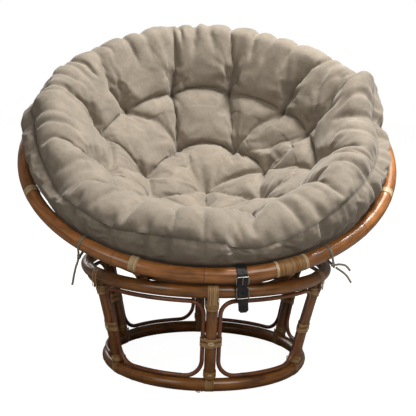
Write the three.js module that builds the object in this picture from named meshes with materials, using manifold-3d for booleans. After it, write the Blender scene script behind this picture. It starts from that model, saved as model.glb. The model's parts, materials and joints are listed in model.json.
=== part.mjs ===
// A papasan chair: a thick tufted cushion in a round rattan bowl, which leans back on a drum-shaped
// rattan base and is buckled to it with one leather strap. Millimetres, +Z up, front towards -Y.
import * as THREE from 'three';
import { mergeVertices } from 'three/addons/utils/BufferGeometryUtils.js';
import Module from 'manifold-3d';

const wasm = await Module();
wasm.setup();

// Base.
const floorHoopWidth = 587; // outside width of the hoop on the floor
const topHoopWidth = 712; // outside width of the hoop under the bowl
const basePole = 34.8; // thickness of both hoops' poles
const baseHeight = 305; // from the floor to the top of the top hoop
const footRise = 4; // how far the glides lift the floor hoop
const postPole = 30;
const postSpread = 2; // how far the posts' tops lie outside the middle of the top hoop's pole
const rodPole = 11.6; // thickness of the bent rods between the posts
const rodTopCorner = 38; // radius of a rod's upper corners
const rodBottomCorner = 46; // radius of its lower corners
const rodTopGap = 4; // between a rod and the top hoop, where the strap's loop goes through
const waistHeight = 146; // middle of the wraps that bind the rods to the posts
const waistBandWidth = 26;
const hoopBandWidth = 28; // length of hoop under the wraps at a post
const postBandLength = 25; // length of post under the same wraps
const glideWidth = 20;
const glideFlatWidth = 11; // flat underneath of a glide

// Bowl.
const rimWidth = 1100; // outside width of the rim
const rimPole = 39.6;
const bowlDepth = 356.9; // from the rim pole's middle down to the line of the ribs at the bowl's lowest point
const rimLift = 6.41; // between the rim and the top hoop in front, which the bowl leans back from
const ribPole = 24;
const lowerHoopPole = 25; // thickness of the middle and bottom hoops
const spliceLength = 88; // length of rim under the wraps where the pole's ends are joined
const peel = 0.45; // thickness of the rattan peel that all joints are wrapped with
const rideGap = 0.25; // between those wraps and the ribs that slide over them

// Cushion, in the bowl's own frame: heights above the rim pole's middle.
const bandOverhang = 17.6; // how far the side band bulges out over the rim's inner side
const seamInset = 18.4; // from the rim's inner side to where the top panel is sewn to the side band
const lowerSeamOverhang = 4.6; // of the seam between the side band and the bottom panel
const crownInset = 60.4; // from the rim's inner side to where the outer roll is highest
const waistInset = 7.4; // between the cushion and the rim's inner side
const crownHeight = 143; // under its folds
const seamHeight = 127;
const bandMiddleHeight = 78;
const frontCrownInset = 36; // the front roll is pressed lower and wider
const frontCrownHeight = 91;
const rollSwell = -6; // of the cut between the outer tufts and the crown, under its folds
const frontRollSwell = 15;
const frontTuftDrop = 17;
const frontSeamReach = 6.6; // past the rim's inner side
const frontSeamHeight = 72;
const frontMiddleHeight = 55;
const lowerSeamHeight = 25;
const middleTuftThickness = 130.0; // of cushion left under the tufts
const innerTuftThickness = 124.6;
const outerTuftThickness = 114.8;
const puffRise = 38; // how far the cushion swells between the tufts
const tuftReach = 50; // how far from a tuft the swelling is full
const creaseReach = 68; // and from a crease
const foldReach = 62; // and from a fold of the outer roll
const bottomSwells = [17, 8, 0, 0, 0]; // how far the bottom panel swells past the middle hoop

// Strap.
const strapWidth = 26;
const strapLeather = 2.2;
const strapGap = 1.4; // between the strap and the rim that it can turn round
const strapTail = 95; // from the rim pole's middle down to the strap's tip
const buckleWire = 2.6;
const buckleWidth = 34;
const frameWire = 3;
const frameWidth = 34;
const frameTop = 32; // below the rim pole's middle
const frameHeight = 26;
const prongWire = 2;
const strapHole = 4.4;
const prongSlot = 24; // length of the slot that the prong comes through and swings in
const prongSwing = 4; // how far that slot's middle lies below the buckle's
const strapTip = 8; // cut-off corners of the strap's tip

// Cushion ties.
const tieWidth = 8;
const tieCloth = 1.6;
const tieTail = 6; // thickness of a hanging tail
const tieKnot = 15;
const tieKnotDrop = 38; // from the rim pole's middle down to the knot

// Points of the ties' tails from the knot's middle: outward, up and along the rim to the left.
const leftTails = [
  [[0, -8, 0], [0, -17, 0], [0, -30, 1], [-1, -43, 1], [-2, -57, 1], [-3, -70, 0], [-4, -82, 0]],
];
const rightTails = [
  [[6.7, 2, -3.6], [13, 3, -8], [19, 2, -12], [25, 0, -16], [29, -4, -19], [32, -10, -21], [34, -17, -23]],
  [[2.4, -6.4, -4.1], [6, -12, -8], [11, -19, -13], [15, -27, -18], [19, -36, -22], [22, -45, -24], [25, -54, -26]],
];

const gap = 0.3; // between pieces that touch
const softGap = 0.6; // between the cushion, leather or cloth and what it lies on

// Angles in degrees. A turn is counted round the vertical, from the front towards the right.
const bowlLean = 1.05; // the bowl lies this much lower on its right
const bowlTurn = 3.6;
const baseTurn = 3.3;
const glideTurn = -5.4; // from the front post
const middleHoopTurn = 52; // from the bowl's lowest point up to its middle hoop
const bottomHoopTurn = 10.5;
const ribEndTurn = 8;
const spliceTurn = 24.7;
const strapTurn = 10.5;
const leftTieTurn = -35.7;
const rightTieTurn = 37;
const leftKnotTurn = -83; // round the rim pole, from its outer side upward
const rightKnotTurn = -63;
const beltStart = -66;
const heelTurn = -56;
const topBarTurn = -3;
const innerTuftTurns = [0, 60, 107, 152, 210, 266, 303];
const outerTuftTurns = [18, 48, 79, 110, 135, 169, 202, 233, 261, 292, 319, 347];
const frontFullTurn = 34; // the front roll's lower form is full to here
const frontEndTurn = 84; // and ends here
const innerTuftTurn = 28.4; // from the bowl's lowest point up to the inner ring of tufts
const outerTuftTurn = 55.5; // and up to the outer ring
const front = -90;
const ninety = 90;
const fullTurn = 360;

// Counts and shares.
const postCount = 6;
const ribCount = 8;
const glideCount = 4;
const postEndShare = 0.25; // of the top hoop's pole, from its middle down to the posts' ends
const foldDepthShares = [0.92, 0.37]; // at a tuft and at the seam
// Creases from tuft to tuft, counted from the middle: how far each bows to its left, as a share of
// its length, and how deep it is, as a share of the swelling.
const creases = [
  [14, 13, 0.12, 0.8], [13, 12, 0.1, 0.7], [15, 14, 0.1, 0.7], [16, 15, 0.08, 0.7], [5, 4, 0.12, 0.85],
  [6, 5, 0.03, 0.85], [4, 3, 0.1, 0.7], [5, 14, 0, 0.85], [4, 13, 0, 0.85], [15, 5, 0.15, 0.6],
  [6, 16, -0.05, 0.6], [17, 16, -0.08, 0.6], [17, 6, 0.08, 0.6], [6, 7, 0, 0.6], [0, 7, 0, 0.7],
  [0, 3, 0.1, 0.7], [0, 2, 0, 0.7], [0, 1, 0, 0.75], [3, 2, 0, 0.6], [12, 11, 0.1, 0.7], [4, 12, 0.05, 0.5],
  [4, 11, -0.05, 0.4], [3, 10, 0.05, 0.55], [11, 10, 0.1, 0.6], [2, 9, 0, 0.6], [10, 9, 0.08, 0.6],
  [9, 8, 0.08, 0.6], [1, 8, 0, 0.5], [1, 19, 0, 0.5], [8, 19, 0.06, 0.6], [19, 18, 0.06, 0.6], [7, 18, 0, 0.6],
  [18, 17, 0.08, 0.6], [1, 2, 0, 0.35], [7, 1, 0, 0.35], [7, 17, 0, 0.4],
];
const postFlareShare = 1.15; // power of the posts' outward curve
const bottomRiseShares = [1.19, 1.08, 1, 0.7, 0.35]; // of the turn up to the middle hoop
const wireCornerShare = 1.2; // of the wire
const holeShares = [0.47]; // of the strap's fall
const holeTurn = 24; // of the hole above the buckle
const beltFallShares = [
  [0.5, 0.34], [0.448, 0.42], [0.41, 0.516], [0.386, 0.663], [0.394, 0.832], [0.4, 1],
];
const floorHoopSteps = 40;
const topHoopSteps = 80;
const rimSteps = 64;
const lowerHoopSteps = 48;
const bottomHoopSteps = 24;
const ribSteps = 16;
const postSteps = 6;
const hoopSides = 8;
const rimSides = 10;
const ribSides = 6;
const lowerHoopSides = 8;
const postSides = 10;
const poleSides = 7;
const rodSides = 6;
const cornerSteps = 3;
const runSteps = 4;
const cushionColumns = 48;
const topRows = 17;
const creaseSteps = 4;
const roundSteps = 16;
const loopSteps = 10;
const beltSteps = 40;
const tailSteps = 8;
const wireSides = 6;
const wireCornerSteps = 2;

// Sizes that follow from those above.
const floorHoopRadius = (floorHoopWidth - basePole) / 2;
const topHoopRadius = (topHoopWidth - basePole) / 2;
const floorHoopHeight = footRise + basePole / 2;
const topHoopHeight = baseHeight - basePole / 2;
const rimRadius = (rimWidth - rimPole) / 2;
const bowlRadius = (rimRadius ** 2 + bowlDepth ** 2) / (2 * bowlDepth); // of the ball it is part of
const rimDrop = bowlRadius - bowlDepth; // of the rim below the ball's middle
const restGap = gap + peel + rideGap; // between the top hoop and the ribs that rest on it
const ribRadius = bowlRadius - restGap;
const lowerHoopRadius = ribRadius - ribPole / 2 - gap - lowerHoopPole / 2;
const cushionBase = lowerHoopRadius - lowerHoopPole / 2 - softGap;
const hoopReach = ribRadius + ribPole / 2 + restGap + basePole / 2;
const ballHeight = topHoopHeight + Math.sqrt(hoopReach ** 2 - topHoopRadius ** 2);
const rimTurn = degrees(Math.asin(rimRadius / bowlRadius));
const rimFromHoop = (rimPole + basePole) / 2 + rimLift;
const bowlTilt = rimTurn - degrees(Math.asin(topHoopRadius / hoopReach))
  - degrees(Math.acos((bowlRadius ** 2 + hoopReach ** 2 - rimFromHoop ** 2) / (2 * bowlRadius * hoopReach)));
const rimInner = rimRadius - rimPole / 2;
const postStep = fullTurn / postCount;
const ribStep = fullTurn / ribCount;

const rattan = { color: 0x8a5a35, roughness: 0.45, metalness: 0 };
const darkRattan = { color: 0x5e3a22, roughness: 0.5, metalness: 0 };
const paleRattan = { color: 0xa9763f, roughness: 0.5, metalness: 0 };
const suede = { color: 0x8f8378, roughness: 0.9, metalness: 0 };
const tape = { color: 0x5d564b, roughness: 0.9, metalness: 0 };
const leather = { color: 0x1b1a1a, roughness: 0.5, metalness: 0 };
const nickel = { color: 0xb9b7b3, roughness: 0.25, metalness: 1 };
const clearPlastic = { color: 0xc9c7c2, roughness: 0.3, metalness: 0 };

const chair = new THREE.Group();
const base = new THREE.Group();
const bowl = new THREE.Group();
const fittings = new THREE.Group();
base.rotation.z = rad(baseTurn);
bowl.rotation.set(rad(bowlTilt), rad(bowlLean), 0, 'YXZ');
bowl.position.z = ballHeight;
chair.add(base, bowl, fittings);
chair.updateMatrixWorld(true);

function rad(angle) {
  return THREE.MathUtils.degToRad(angle);
}

function degrees(angle) {
  return THREE.MathUtils.radToDeg(angle);
}

// A point at a turn from the front, a distance from the vertical axis and a height.
function roundPoint(turn, radius, height) {
  const angle = rad(front + turn);
  return new THREE.Vector3(radius * Math.cos(angle), radius * Math.sin(angle), height);
}

// A point of the bowl's ball, from a turn round the bowl's axis and a turn up from its lowest point.
function ballPoint(turn, rise, radius) {
  return roundPoint(turn, radius * Math.sin(rad(rise)), -radius * Math.cos(rad(rise)));
}

function add(group, name, geometry, look) {
  const mesh = new THREE.Mesh(geometry, new THREE.MeshStandardMaterial(look));
  mesh.name = name;
  group.add(mesh);
  return mesh;
}

// A three.js geometry as a solid for joining and cutting, and back.
function toSolid(geometry) {
  const bare = geometry.clone();
  bare.deleteAttribute('normal');
  bare.deleteAttribute('uv');
  const merged = mergeVertices(bare);
  const vertProperties = new Float32Array(merged.attributes.position.array);
  const triVerts = new Uint32Array(merged.index.array);
  return new wasm.Manifold(new wasm.Mesh({ numProp: 3, vertProperties, triVerts }));
}

function fromSolid(solid) {
  const { vertProperties, triVerts } = solid.getMesh();
  const geometry = new THREE.BufferGeometry();
  geometry.setAttribute('position', new THREE.BufferAttribute(vertProperties, 3));
  geometry.setIndex(new THREE.BufferAttribute(triVerts, 1));
  geometry.computeVertexNormals();
  return geometry;
}

function circle(radius, sides) {
  const points = [];
  for (let i = 0; i < sides; i += 1) {
    const angle = rad((fullTurn * i) / sides);
    points.push(new THREE.Vector2(radius * Math.cos(angle), radius * Math.sin(angle)));
  }
  return new THREE.Shape(points);
}

function rectangle(width, height) {
  return new THREE.Shape([
    new THREE.Vector2(-width / 2, -height / 2),
    new THREE.Vector2(width / 2, -height / 2),
    new THREE.Vector2(width / 2, height / 2),
    new THREE.Vector2(-width / 2, height / 2),
  ]);
}

// A section swept along a smooth open curve.
function sweep(points, section, steps) {
  const extrudePath = new THREE.CatmullRomCurve3(points);
  return new THREE.ExtrudeGeometry(section, { steps, extrudePath, bevelEnabled: false });
}

// A tube along a line of points, either closed on itself or with flat ends. Each point has
// a direction across the tube, which a ridge of the tube follows, so that it doesn't twist.
function tube(points, across, radius, sides, closed) {
  const positions = [];
  const faces = [];
  const count = points.length;
  const near = (i) => (closed ? points[(i + count) % count] : points[Math.min(Math.max(i, 0), count - 1)]);
  points.forEach((point, i) => {
    const along = near(i + 1).clone().sub(near(i - 1)).normalize();
    const x = across[i].clone().addScaledVector(along, -across[i].dot(along)).normalize();
    const y = along.clone().cross(x);
    for (let j = 0; j < sides; j += 1) {
      const angle = rad((fullTurn * j) / sides);
      const place = point.clone()
        .addScaledVector(x, radius * Math.cos(angle))
        .addScaledVector(y, radius * Math.sin(angle));
      positions.push(...place.toArray());
      const here = i * sides + j;
      const next = i * sides + ((j + 1) % sides);
      const ahead = ((i + 1) % count) * sides;
      if (closed || i < count - 1) {
        faces.push(here, next, ahead + ((j + 1) % sides));
        faces.push(here, ahead + ((j + 1) % sides), ahead + j);
      }
    }
  });
  const end = (count - 1) * sides;
  for (let j = 1; !closed && j < sides - 1; j += 1) {
    faces.push(0, j + 1, j, end, end + j, end + j + 1);
  }
  return meshOf(positions, faces);
}

function meshOf(positions, faces) {
  const geometry = new THREE.BufferGeometry();
  geometry.setAttribute('position', new THREE.Float32BufferAttribute(positions, 3));
  geometry.setIndex(faces);
  geometry.computeVertexNormals();
  return geometry;
}

function placed(geometry, origin, xAxis, yAxis, zAxis) {
  const matrix = new THREE.Matrix4().makeBasis(xAxis, yAxis, zAxis).setPosition(origin);
  return geometry.applyMatrix4(matrix);
}

// A hoop at a height, with one of its ridges towards a height on its axis.
function hoop(radius, height, pole, sides, steps, ridgeHeight) {
  const points = [];
  const across = [];
  for (let i = 0; i < steps; i += 1) {
    const point = roundPoint((fullTurn * i) / steps, radius, height);
    points.push(point);
    across.push(new THREE.Vector3(0, 0, ridgeHeight).sub(point).normalize());
  }
  return tube(points, across, pole / 2, sides, true);
}

// The base's hoops and the rim, thicker than their poles by a margin.
function floorHoop(margin) {
  const pole = basePole + 2 * margin;
  return hoop(floorHoopRadius, floorHoopHeight, pole, hoopSides, floorHoopSteps, floorHoopHeight);
}

function topHoop(margin) {
  const pole = basePole + 2 * margin;
  return hoop(topHoopRadius, topHoopHeight, pole, hoopSides, topHoopSteps, ballHeight);
}

function rim(margin) {
  const pole = rimPole + 2 * margin;
  return hoop(rimRadius, -rimDrop, pole, rimSides, rimSteps, 0).rotateZ(rad(bowlTurn));
}

// The posts stand on this wall, which curves outward to the top hoop.
function wallRadius(height) {
  const share = Math.max(0, (height - floorHoopHeight) / (topHoopHeight - floorHoopHeight));
  return floorHoopRadius + (topHoopRadius + postSpread - floorHoopRadius) * share ** postFlareShare;
}

function wallPoint(turn, height) {
  return roundPoint(turn, wallRadius(height), height);
}

// A length of post, or of a sleeve round it.
function postTube(turn, bottom, top, radius, steps) {
  const points = [];
  for (let i = 0; i <= postSteps; i += 1) {
    points.push(wallPoint(turn, bottom + ((top - bottom) * i) / postSteps));
  }
  return sweep(points, circle(radius, postSides), steps);
}

function makePost(turn) {
  const end = topHoopHeight - basePole * postEndShare;
  const pole = toSolid(postTube(turn, floorHoopHeight, end, postPole / 2, postSteps));
  return fromSolid(pole.subtract(toSolid(floorHoop(gap))).subtract(toSolid(topHoop(gap))));
}

// A bent rod runs down beside one post, along the floor hoop, up beside the next and back.
function makeRod(turn) {
  const bottom = floorHoopHeight + basePole / 2 + softGap + rodPole / 2;
  const top = topHoopHeight - basePole / 2 - rodTopGap - rodPole / 2;
  const points = [];
  const across = [];
  const addPoint = (side, inset, height) => {
    const radius = wallRadius(height);
    const reach = rad(postStep / 2) * radius - (postPole + rodPole) / 2 - softGap - inset;
    const place = turn + degrees((side * reach) / radius);
    points.push(wallPoint(place, height));
    across.push(roundPoint(place, 1, 0));
  };
  const addCorner = (side, corner, middle, start) => {
    for (let i = 0; i <= cornerSteps; i += 1) {
      const angle = rad(start + (ninety * i) / cornerSteps);
      addPoint(side, corner * (1 - Math.abs(Math.cos(angle))), middle + corner * Math.sin(angle));
    }
  };
  const addRun = (height, corner, direction) => {
    for (let i = 1; i < runSteps; i += 1) {
      const radius = wallRadius(height);
      const reach = rad(postStep / 2) * radius - (postPole + rodPole) / 2 - softGap - corner;
      const place = direction * reach * (1 - (2 * i) / runSteps);
      const turned = turn + degrees(place / radius);
      points.push(wallPoint(turned, height));
      across.push(roundPoint(turned, 1, 0));
    }
  };
  const addSide = (side, from, to) => {
    for (let i = 1; i < runSteps; i += 1) {
      addPoint(side, 0, from + ((to - from) * i) / runSteps);
    }
  };
  addCorner(1, rodBottomCorner, bottom + rodBottomCorner, -ninety);
  addSide(1, bottom + rodBottomCorner, top - rodTopCorner);
  addCorner(1, rodTopCorner, top - rodTopCorner, 0);
  addRun(top, rodTopCorner, 1);
  addCorner(-1, rodTopCorner, top - rodTopCorner, ninety);
  addSide(-1, top - rodTopCorner, bottom + rodBottomCorner);
  addCorner(-1, rodBottomCorner, bottom + rodBottomCorner, 2 * ninety);
  addRun(bottom, rodBottomCorner, -1);
  return tube(points, across, rodPole / 2, rodSides, true);
}

// Wraps round a hoop and the end of a post, as one shell of peel.
function makeHoopWrap(turn, hoopAt, radius, height, upward) {
  const edge = height + (upward * basePole) / 2;
  const end = edge + upward * postBandLength;
  const slab = new THREE.BoxGeometry(hoopBandWidth, 2 * basePole, 2 * basePole);
  const middle = roundPoint(turn, radius, height);
  slab.rotateZ(rad(turn)).translate(middle.x, middle.y, middle.z);
  const low = Math.min(height, end);
  const high = Math.max(height, end);
  const reach = postPole / 2 + gap;
  const sleeve = toSolid(postTube(turn, low, high, reach + peel, 1));
  const bore = toSolid(postTube(turn, low - peel, high + peel, reach, 1));
  const band = toSolid(hoopAt(gap + peel)).intersect(toSolid(slab));
  return fromSolid(band.add(sleeve).subtract(bore).subtract(toSolid(hoopAt(gap))));
}

// Wraps that bind the two rods beside a post to it.
function makeWaistWrap(turn) {
  const side = (postPole + rodPole) / 2 + softGap;
  const outline = (margin) => {
    const shape = new THREE.Shape();
    const hug = Math.asin((postPole - rodPole) / 2 / side);
    const rodReach = rodPole / 2 + margin;
    const postReach = postPole / 2 + margin;
    shape.absarc(side, 0, rodReach, -Math.PI / 2 + hug, Math.PI / 2 - hug);
    shape.absarc(0, 0, postReach, Math.PI / 2 - hug, Math.PI / 2 + hug);
    shape.absarc(-side, 0, rodReach, Math.PI / 2 + hug, (3 * Math.PI) / 2 - hug);
    shape.absarc(0, 0, postReach, (3 * Math.PI) / 2 - hug, (3 * Math.PI) / 2 + hug);
    return shape;
  };
  const shape = outline(softGap + peel);
  shape.holes.push(new THREE.Path(outline(softGap).getPoints(2).reverse()));
  const options = { depth: waistBandWidth, curveSegments: 2, bevelEnabled: false };
  const sleeve = new THREE.ExtrudeGeometry(shape, options).translate(0, 0, -waistBandWidth / 2);
  const below = wallPoint(turn, waistHeight - waistBandWidth / 2);
  const above = wallPoint(turn, waistHeight + waistBandWidth / 2);
  const up = above.sub(below).normalize();
  const along = roundPoint(turn + ninety, 1, 0);
  return placed(sleeve, wallPoint(turn, waistHeight), along, up.clone().cross(along), up);
}

function makeGlide(turn) {
  const profile = [
    new THREE.Vector2(0, 0),
    new THREE.Vector2(glideFlatWidth / 2, 0),
    new THREE.Vector2((glideFlatWidth + glideWidth) / 4, footRise / 6),
    new THREE.Vector2(glideWidth / 2, footRise),
    new THREE.Vector2(glideWidth / 2, 2 * footRise),
    new THREE.Vector2(0, 2 * footRise),
  ];
  const middle = roundPoint(turn, floorHoopRadius, 0);
  const dome = new THREE.LatheGeometry(profile, postSides).rotateX(rad(ninety));
  const solid = toSolid(dome.translate(middle.x, middle.y, 0));
  return fromSolid(solid.subtract(toSolid(floorHoop(gap))));
}

function addBase() {
  add(base, 'floor_hoop', floorHoop(0), darkRattan);
  add(base, 'top_hoop', topHoop(0), darkRattan);
  for (let i = 0; i < postCount; i += 1) {
    const turn = postStep * i;
    add(base, `post_${i + 1}`, makePost(turn), darkRattan);
    add(base, `infill_rod_${i + 1}`, makeRod(turn + postStep / 2), darkRattan);
    const low = makeHoopWrap(turn, floorHoop, floorHoopRadius, floorHoopHeight, 1);
    add(base, `floor_wrap_${i + 1}`, low, paleRattan);
    add(base, `waist_wrap_${i + 1}`, makeWaistWrap(turn), paleRattan);
    const high = makeHoopWrap(turn, topHoop, topHoopRadius, topHoopHeight, -1);
    add(base, `top_wrap_${i + 1}`, high, paleRattan);
  }
  for (let i = 0; i < glideCount; i += 1) {
    const turn = glideTurn + (fullTurn * i) / glideCount;
    add(base, `glide_${i + 1}`, makeGlide(turn), clearPlastic);
  }
}

function ribTube(turn, from, radius) {
  const points = [];
  const across = [];
  for (let i = 0; i <= ribSteps; i += 1) {
    const rise = from + ((ribEndTurn - from) * i) / ribSteps;
    points.push(ballPoint(turn, rise, ribRadius));
    across.push(ballPoint(turn, rise, 1));
  }
  return tube(points, across, radius, ribSides, false);
}

function makeRib(turn) {
  return fromSolid(toSolid(ribTube(turn, rimTurn, ribPole / 2)).subtract(toSolid(rim(gap))));
}

function lowerHoop(rise, steps) {
  const radius = lowerHoopRadius * Math.sin(rad(rise));
  const height = -lowerHoopRadius * Math.cos(rad(rise));
  return hoop(radius, height, lowerHoopPole, lowerHoopSides, steps, 0).rotateZ(rad(bowlTurn));
}

// Wraps over the rim's joint, open where a rib comes out of them.
function makeSplice() {
  const slab = new THREE.BoxGeometry(spliceLength, 2 * rimPole, 2 * rimPole);
  const middle = roundPoint(spliceTurn, rimRadius, -rimDrop);
  slab.rotateZ(rad(spliceTurn)).translate(middle.x, middle.y, middle.z);
  const band = toSolid(rim(gap + peel)).intersect(toSolid(slab));
  const rib = toSolid(ribTube(bowlTurn + ribStep / 2, rimTurn, ribPole / 2 + gap));
  return fromSolid(band.subtract(rib).subtract(toSolid(rim(gap))));
}

// Where tufts lie in a cut through the cushion: x from its middle, z above the rim.
function tuftPoint(thickness, rise) {
  const reach = cushionBase - thickness;
  return new THREE.Vector3(reach * Math.sin(rad(rise)), 0, rimDrop - reach * Math.cos(rad(rise)));
}

// The tufts' places on the cushion: one in the middle, then an inner and an outer ring.
function tuftPlaces() {
  const places = [new THREE.Vector3(0, 0, 0)];
  const inner = tuftPoint(innerTuftThickness, innerTuftTurn).x;
  const outer = tuftPoint(outerTuftThickness, outerTuftTurn).x;
  innerTuftTurns.forEach((turn) => places.push(roundPoint(turn, inner, 0)));
  outerTuftTurns.forEach((turn) => places.push(roundPoint(turn, outer, 0)));
  return places;
}

// Lines along which the cushion is drawn in, as points, depths at both ends and how far each reaches.
function drawnLines() {
  const tufts = tuftPlaces();
  const lines = tufts.map((tuft) => ({ points: [tuft, tuft], depths: [1, 1], reach: tuftReach }));
  creases.forEach(([from, to, bow, depth]) => {
    const way = tufts[to].clone().sub(tufts[from]);
    const side = new THREE.Vector3(-way.y, way.x, 0).multiplyScalar(bow);
    const points = [];
    for (let i = 0; i <= creaseSteps; i += 1) {
      const share = i / creaseSteps;
      const bend = 4 * share * (1 - share);
      points.push(tufts[from].clone().addScaledVector(way, share).addScaledVector(side, bend));
    }
    lines.push({ points, depths: [depth, depth], reach: creaseReach });
  });
  outerTuftTurns.forEach((turn, i) => {
    const points = [tufts[tufts.length - outerTuftTurns.length + i], roundPoint(turn, rimRadius, 0)];
    lines.push({ points, depths: foldDepthShares, reach: foldReach });
  });
  return lines;
}

// How full the cushion is at a place on its plan: 0 at a tuft and 1 on top of a puff.
function fullness(place, lines) {
  let drawn = 0;
  lines.forEach(({ points, depths, reach }) => {
    for (let i = 1; i < points.length; i += 1) {
      const segment = new THREE.Line3(points[i - 1], points[i]);
      const long = segment.distance() > 0;
      const share = long ? segment.closestPointToPointParameter(place, true) : 0;
      const far = Math.min(1, segment.at(share, new THREE.Vector3()).distanceTo(place) / reach);
      const depth = THREE.MathUtils.lerp(depths[0], depths[1], (i - 1 + share) / (points.length - 1));
      drawn = Math.max(drawn, depth * (1 - Math.sqrt(1 - (1 - far) ** 2)));
    }
  });
  return 1 - drawn;
}

// A closed body from rows of points: the first and last row are one point each.
function closedRows(top, rows, bottom) {
  const positions = [...top.toArray()];
  rows.forEach((row) => row.forEach((point) => positions.push(...point.toArray())));
  positions.push(...bottom.toArray());
  const count = rows[0].length;
  const faces = [];
  for (let j = 0; j < count; j += 1) {
    const next = (j + 1) % count;
    faces.push(0, 1 + j, 1 + next);
    for (let i = 0; i < rows.length - 1; i += 1) {
      const here = 1 + i * count;
      faces.push(here + j, here + count + j, here + count + next);
      faces.push(here + j, here + count + next, here + next);
    }
    const last = 1 + (rows.length - 1) * count;
    faces.push(last + j, last + count, last + next);
  }
  return meshOf(positions, faces);
}

// How much of the front roll's lower form the cushion has at a turn.
function frontShare(turn) {
  const off = Math.abs(THREE.MathUtils.euclideanModulo(turn + fullTurn / 2, fullTurn) - fullTurn / 2);
  return 1 - THREE.MathUtils.smoothstep(off, frontFullTurn, frontEndTurn);
}

// The cushion: tufted top panel, drawn-in side band and a bottom panel that fills the bowl.
function makeCushion() {
  const deepest = tuftPoint(middleTuftThickness, 0);
  const innerTuft = tuftPoint(innerTuftThickness, innerTuftTurn);
  const outerTuft = tuftPoint(outerTuftThickness, outerTuftTurn);
  const cut = (tuft, crown, swell, seam) => {
    const between = tuft.clone().add(crown).divideScalar(2).setY(0);
    between.z += swell;
    return new THREE.CatmullRomCurve3([deepest, innerTuft, tuft, between, crown, seam]);
  };
  const point = (x, z) => new THREE.Vector3(x, 0, z);
  const back = cut(
    outerTuft,
    point(rimInner - crownInset, crownHeight),
    rollSwell,
    point(rimInner - seamInset, seamHeight),
  );
  const front = cut(
    point(outerTuft.x, outerTuft.z - frontTuftDrop),
    point(rimInner - frontCrownInset, frontCrownHeight),
    frontRollSwell,
    point(rimInner + frontSeamReach, frontSeamHeight),
  );
  const lines = drawnLines();
  const rows = [];
  for (let i = 1; i <= topRows; i += 1) {
    const share = i / topRows;
    rows.push(cushionRow((turn) => {
      const middle = back.getPointAt(share).lerp(front.getPointAt(share), frontShare(turn));
      const slope = back.getTangentAt(share).lerp(front.getTangentAt(share), frontShare(turn));
      const outward = THREE.MathUtils.clamp(
        (middle.x - outerTuft.x) / (rimInner - seamInset - outerTuft.x), 0, 1);
      const full = fullness(roundPoint(turn, middle.x, 0), lines);
      const rise = puffRise * (1 - outward ** 2) * full;
      return middle.addScaledVector(point(-slope.z, slope.x).normalize(), rise);
    }));
  }
  rows.push(cushionRow((turn) => point(
    rimInner + bandOverhang,
    THREE.MathUtils.lerp(bandMiddleHeight, frontMiddleHeight, frontShare(turn)),
  )));
  rows.push(cushionRow(() => point(rimInner + lowerSeamOverhang, lowerSeamHeight)));
  rows.push(cushionRow(() => point(rimInner - waistInset, 0)));
  bottomRiseShares.forEach((share, i) => {
    const rise = rad(middleHoopTurn * share);
    const reach = cushionBase + bottomSwells[i];
    rows.push(cushionRow(() => point(reach * Math.sin(rise), rimDrop - reach * Math.cos(rise))));
  });
  const lowest = new THREE.Vector3(0, 0, -cushionBase);
  return closedRows(deepest.clone().setZ(deepest.z - rimDrop), rows, lowest);
}

// A row of the cushion's points, from a distance and a height above the rim at each turn.
function cushionRow(pointAt) {
  const row = [];
  for (let j = 0; j < cushionColumns; j += 1) {
    const turn = bowlTurn + (fullTurn * j) / cushionColumns;
    const point = pointAt(turn);
    row.push(roundPoint(turn, point.x, point.z - rimDrop));
  }
  return row;
}

// A frame at a place on the rim: along the rim, up and outward.
function rimFrame(turn) {
  const along = roundPoint(turn + ninety, 1, 0).transformDirection(bowl.matrixWorld);
  const origin = roundPoint(turn, rimRadius, -rimDrop).applyMatrix4(bowl.matrixWorld);
  const vertical = new THREE.Vector3(0, 0, 1);
  const up = vertical.addScaledVector(along, -along.z).normalize();
  const out = along.clone().cross(up);
  return { origin, along, up, out };
}

// Puts a shape drawn across the rim in its place: x outward, y up, z along the rim to the left.
function inFrame(geometry, { origin, along, up, out }) {
  return placed(geometry, origin, out, up, along.clone().negate());
}

function rimInPlace(margin) {
  return rim(margin).applyMatrix4(bowl.matrixWorld);
}

// A tie: a tape round the rim with a knot that hangs below it, and its hanging tails.
function addTie(side, turn, knotTurn, tails) {
  const frame = rimFrame(turn);
  const inner = rimPole / 2 + softGap;
  const knotPlace = polar(tieKnotDrop, knotTurn);
  const outline = loopShape(inner + tieCloth, knotTurn);
  outline.holes.push(new THREE.Path(loopShape(inner, knotTurn).getPoints(loopSteps).reverse()));
  const options = { depth: tieWidth, curveSegments: loopSteps, bevelEnabled: false };
  const loop = new THREE.ExtrudeGeometry(outline, options).translate(0, 0, -tieWidth / 2);
  const knot = new THREE.SphereGeometry(tieKnot / 2, poleSides, poleSides - 2);
  knot.translate(knotPlace.x, knotPlace.y, 0);
  const body = toSolid(inFrame(loop, frame)).add(toSolid(inFrame(knot, frame)));
  const tied = fromSolid(body.subtract(toSolid(rimInPlace(gap))));
  add(fittings, `cushion_tie_${side}`, tied, tape);
  tails.forEach((points, i) => {
    const path = points.map(([x, y, z]) => new THREE.Vector3(x, y, z).add(knotPlace));
    const tail = sweep(path, circle(tieTail / 2, poleSides), tailSteps);
    add(fittings, `tie_tail_${side}_${i + 1}`, inFrame(tail, frame), tape);
  });
}

// The outline of a tape that hangs round the rim, drawn down to its knot.
function loopShape(radius, knotTurn) {
  const reach = (tieKnotDrop * radius) / (rimPole / 2 + softGap + tieCloth);
  const open = Math.acos(radius / reach);
  const shape = new THREE.Shape();
  shape.absarc(0, 0, radius, rad(knotTurn) + open, rad(knotTurn + fullTurn) - open);
  const point = polar(reach, knotTurn);
  shape.lineTo(point.x, point.y);
  return shape;
}

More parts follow.
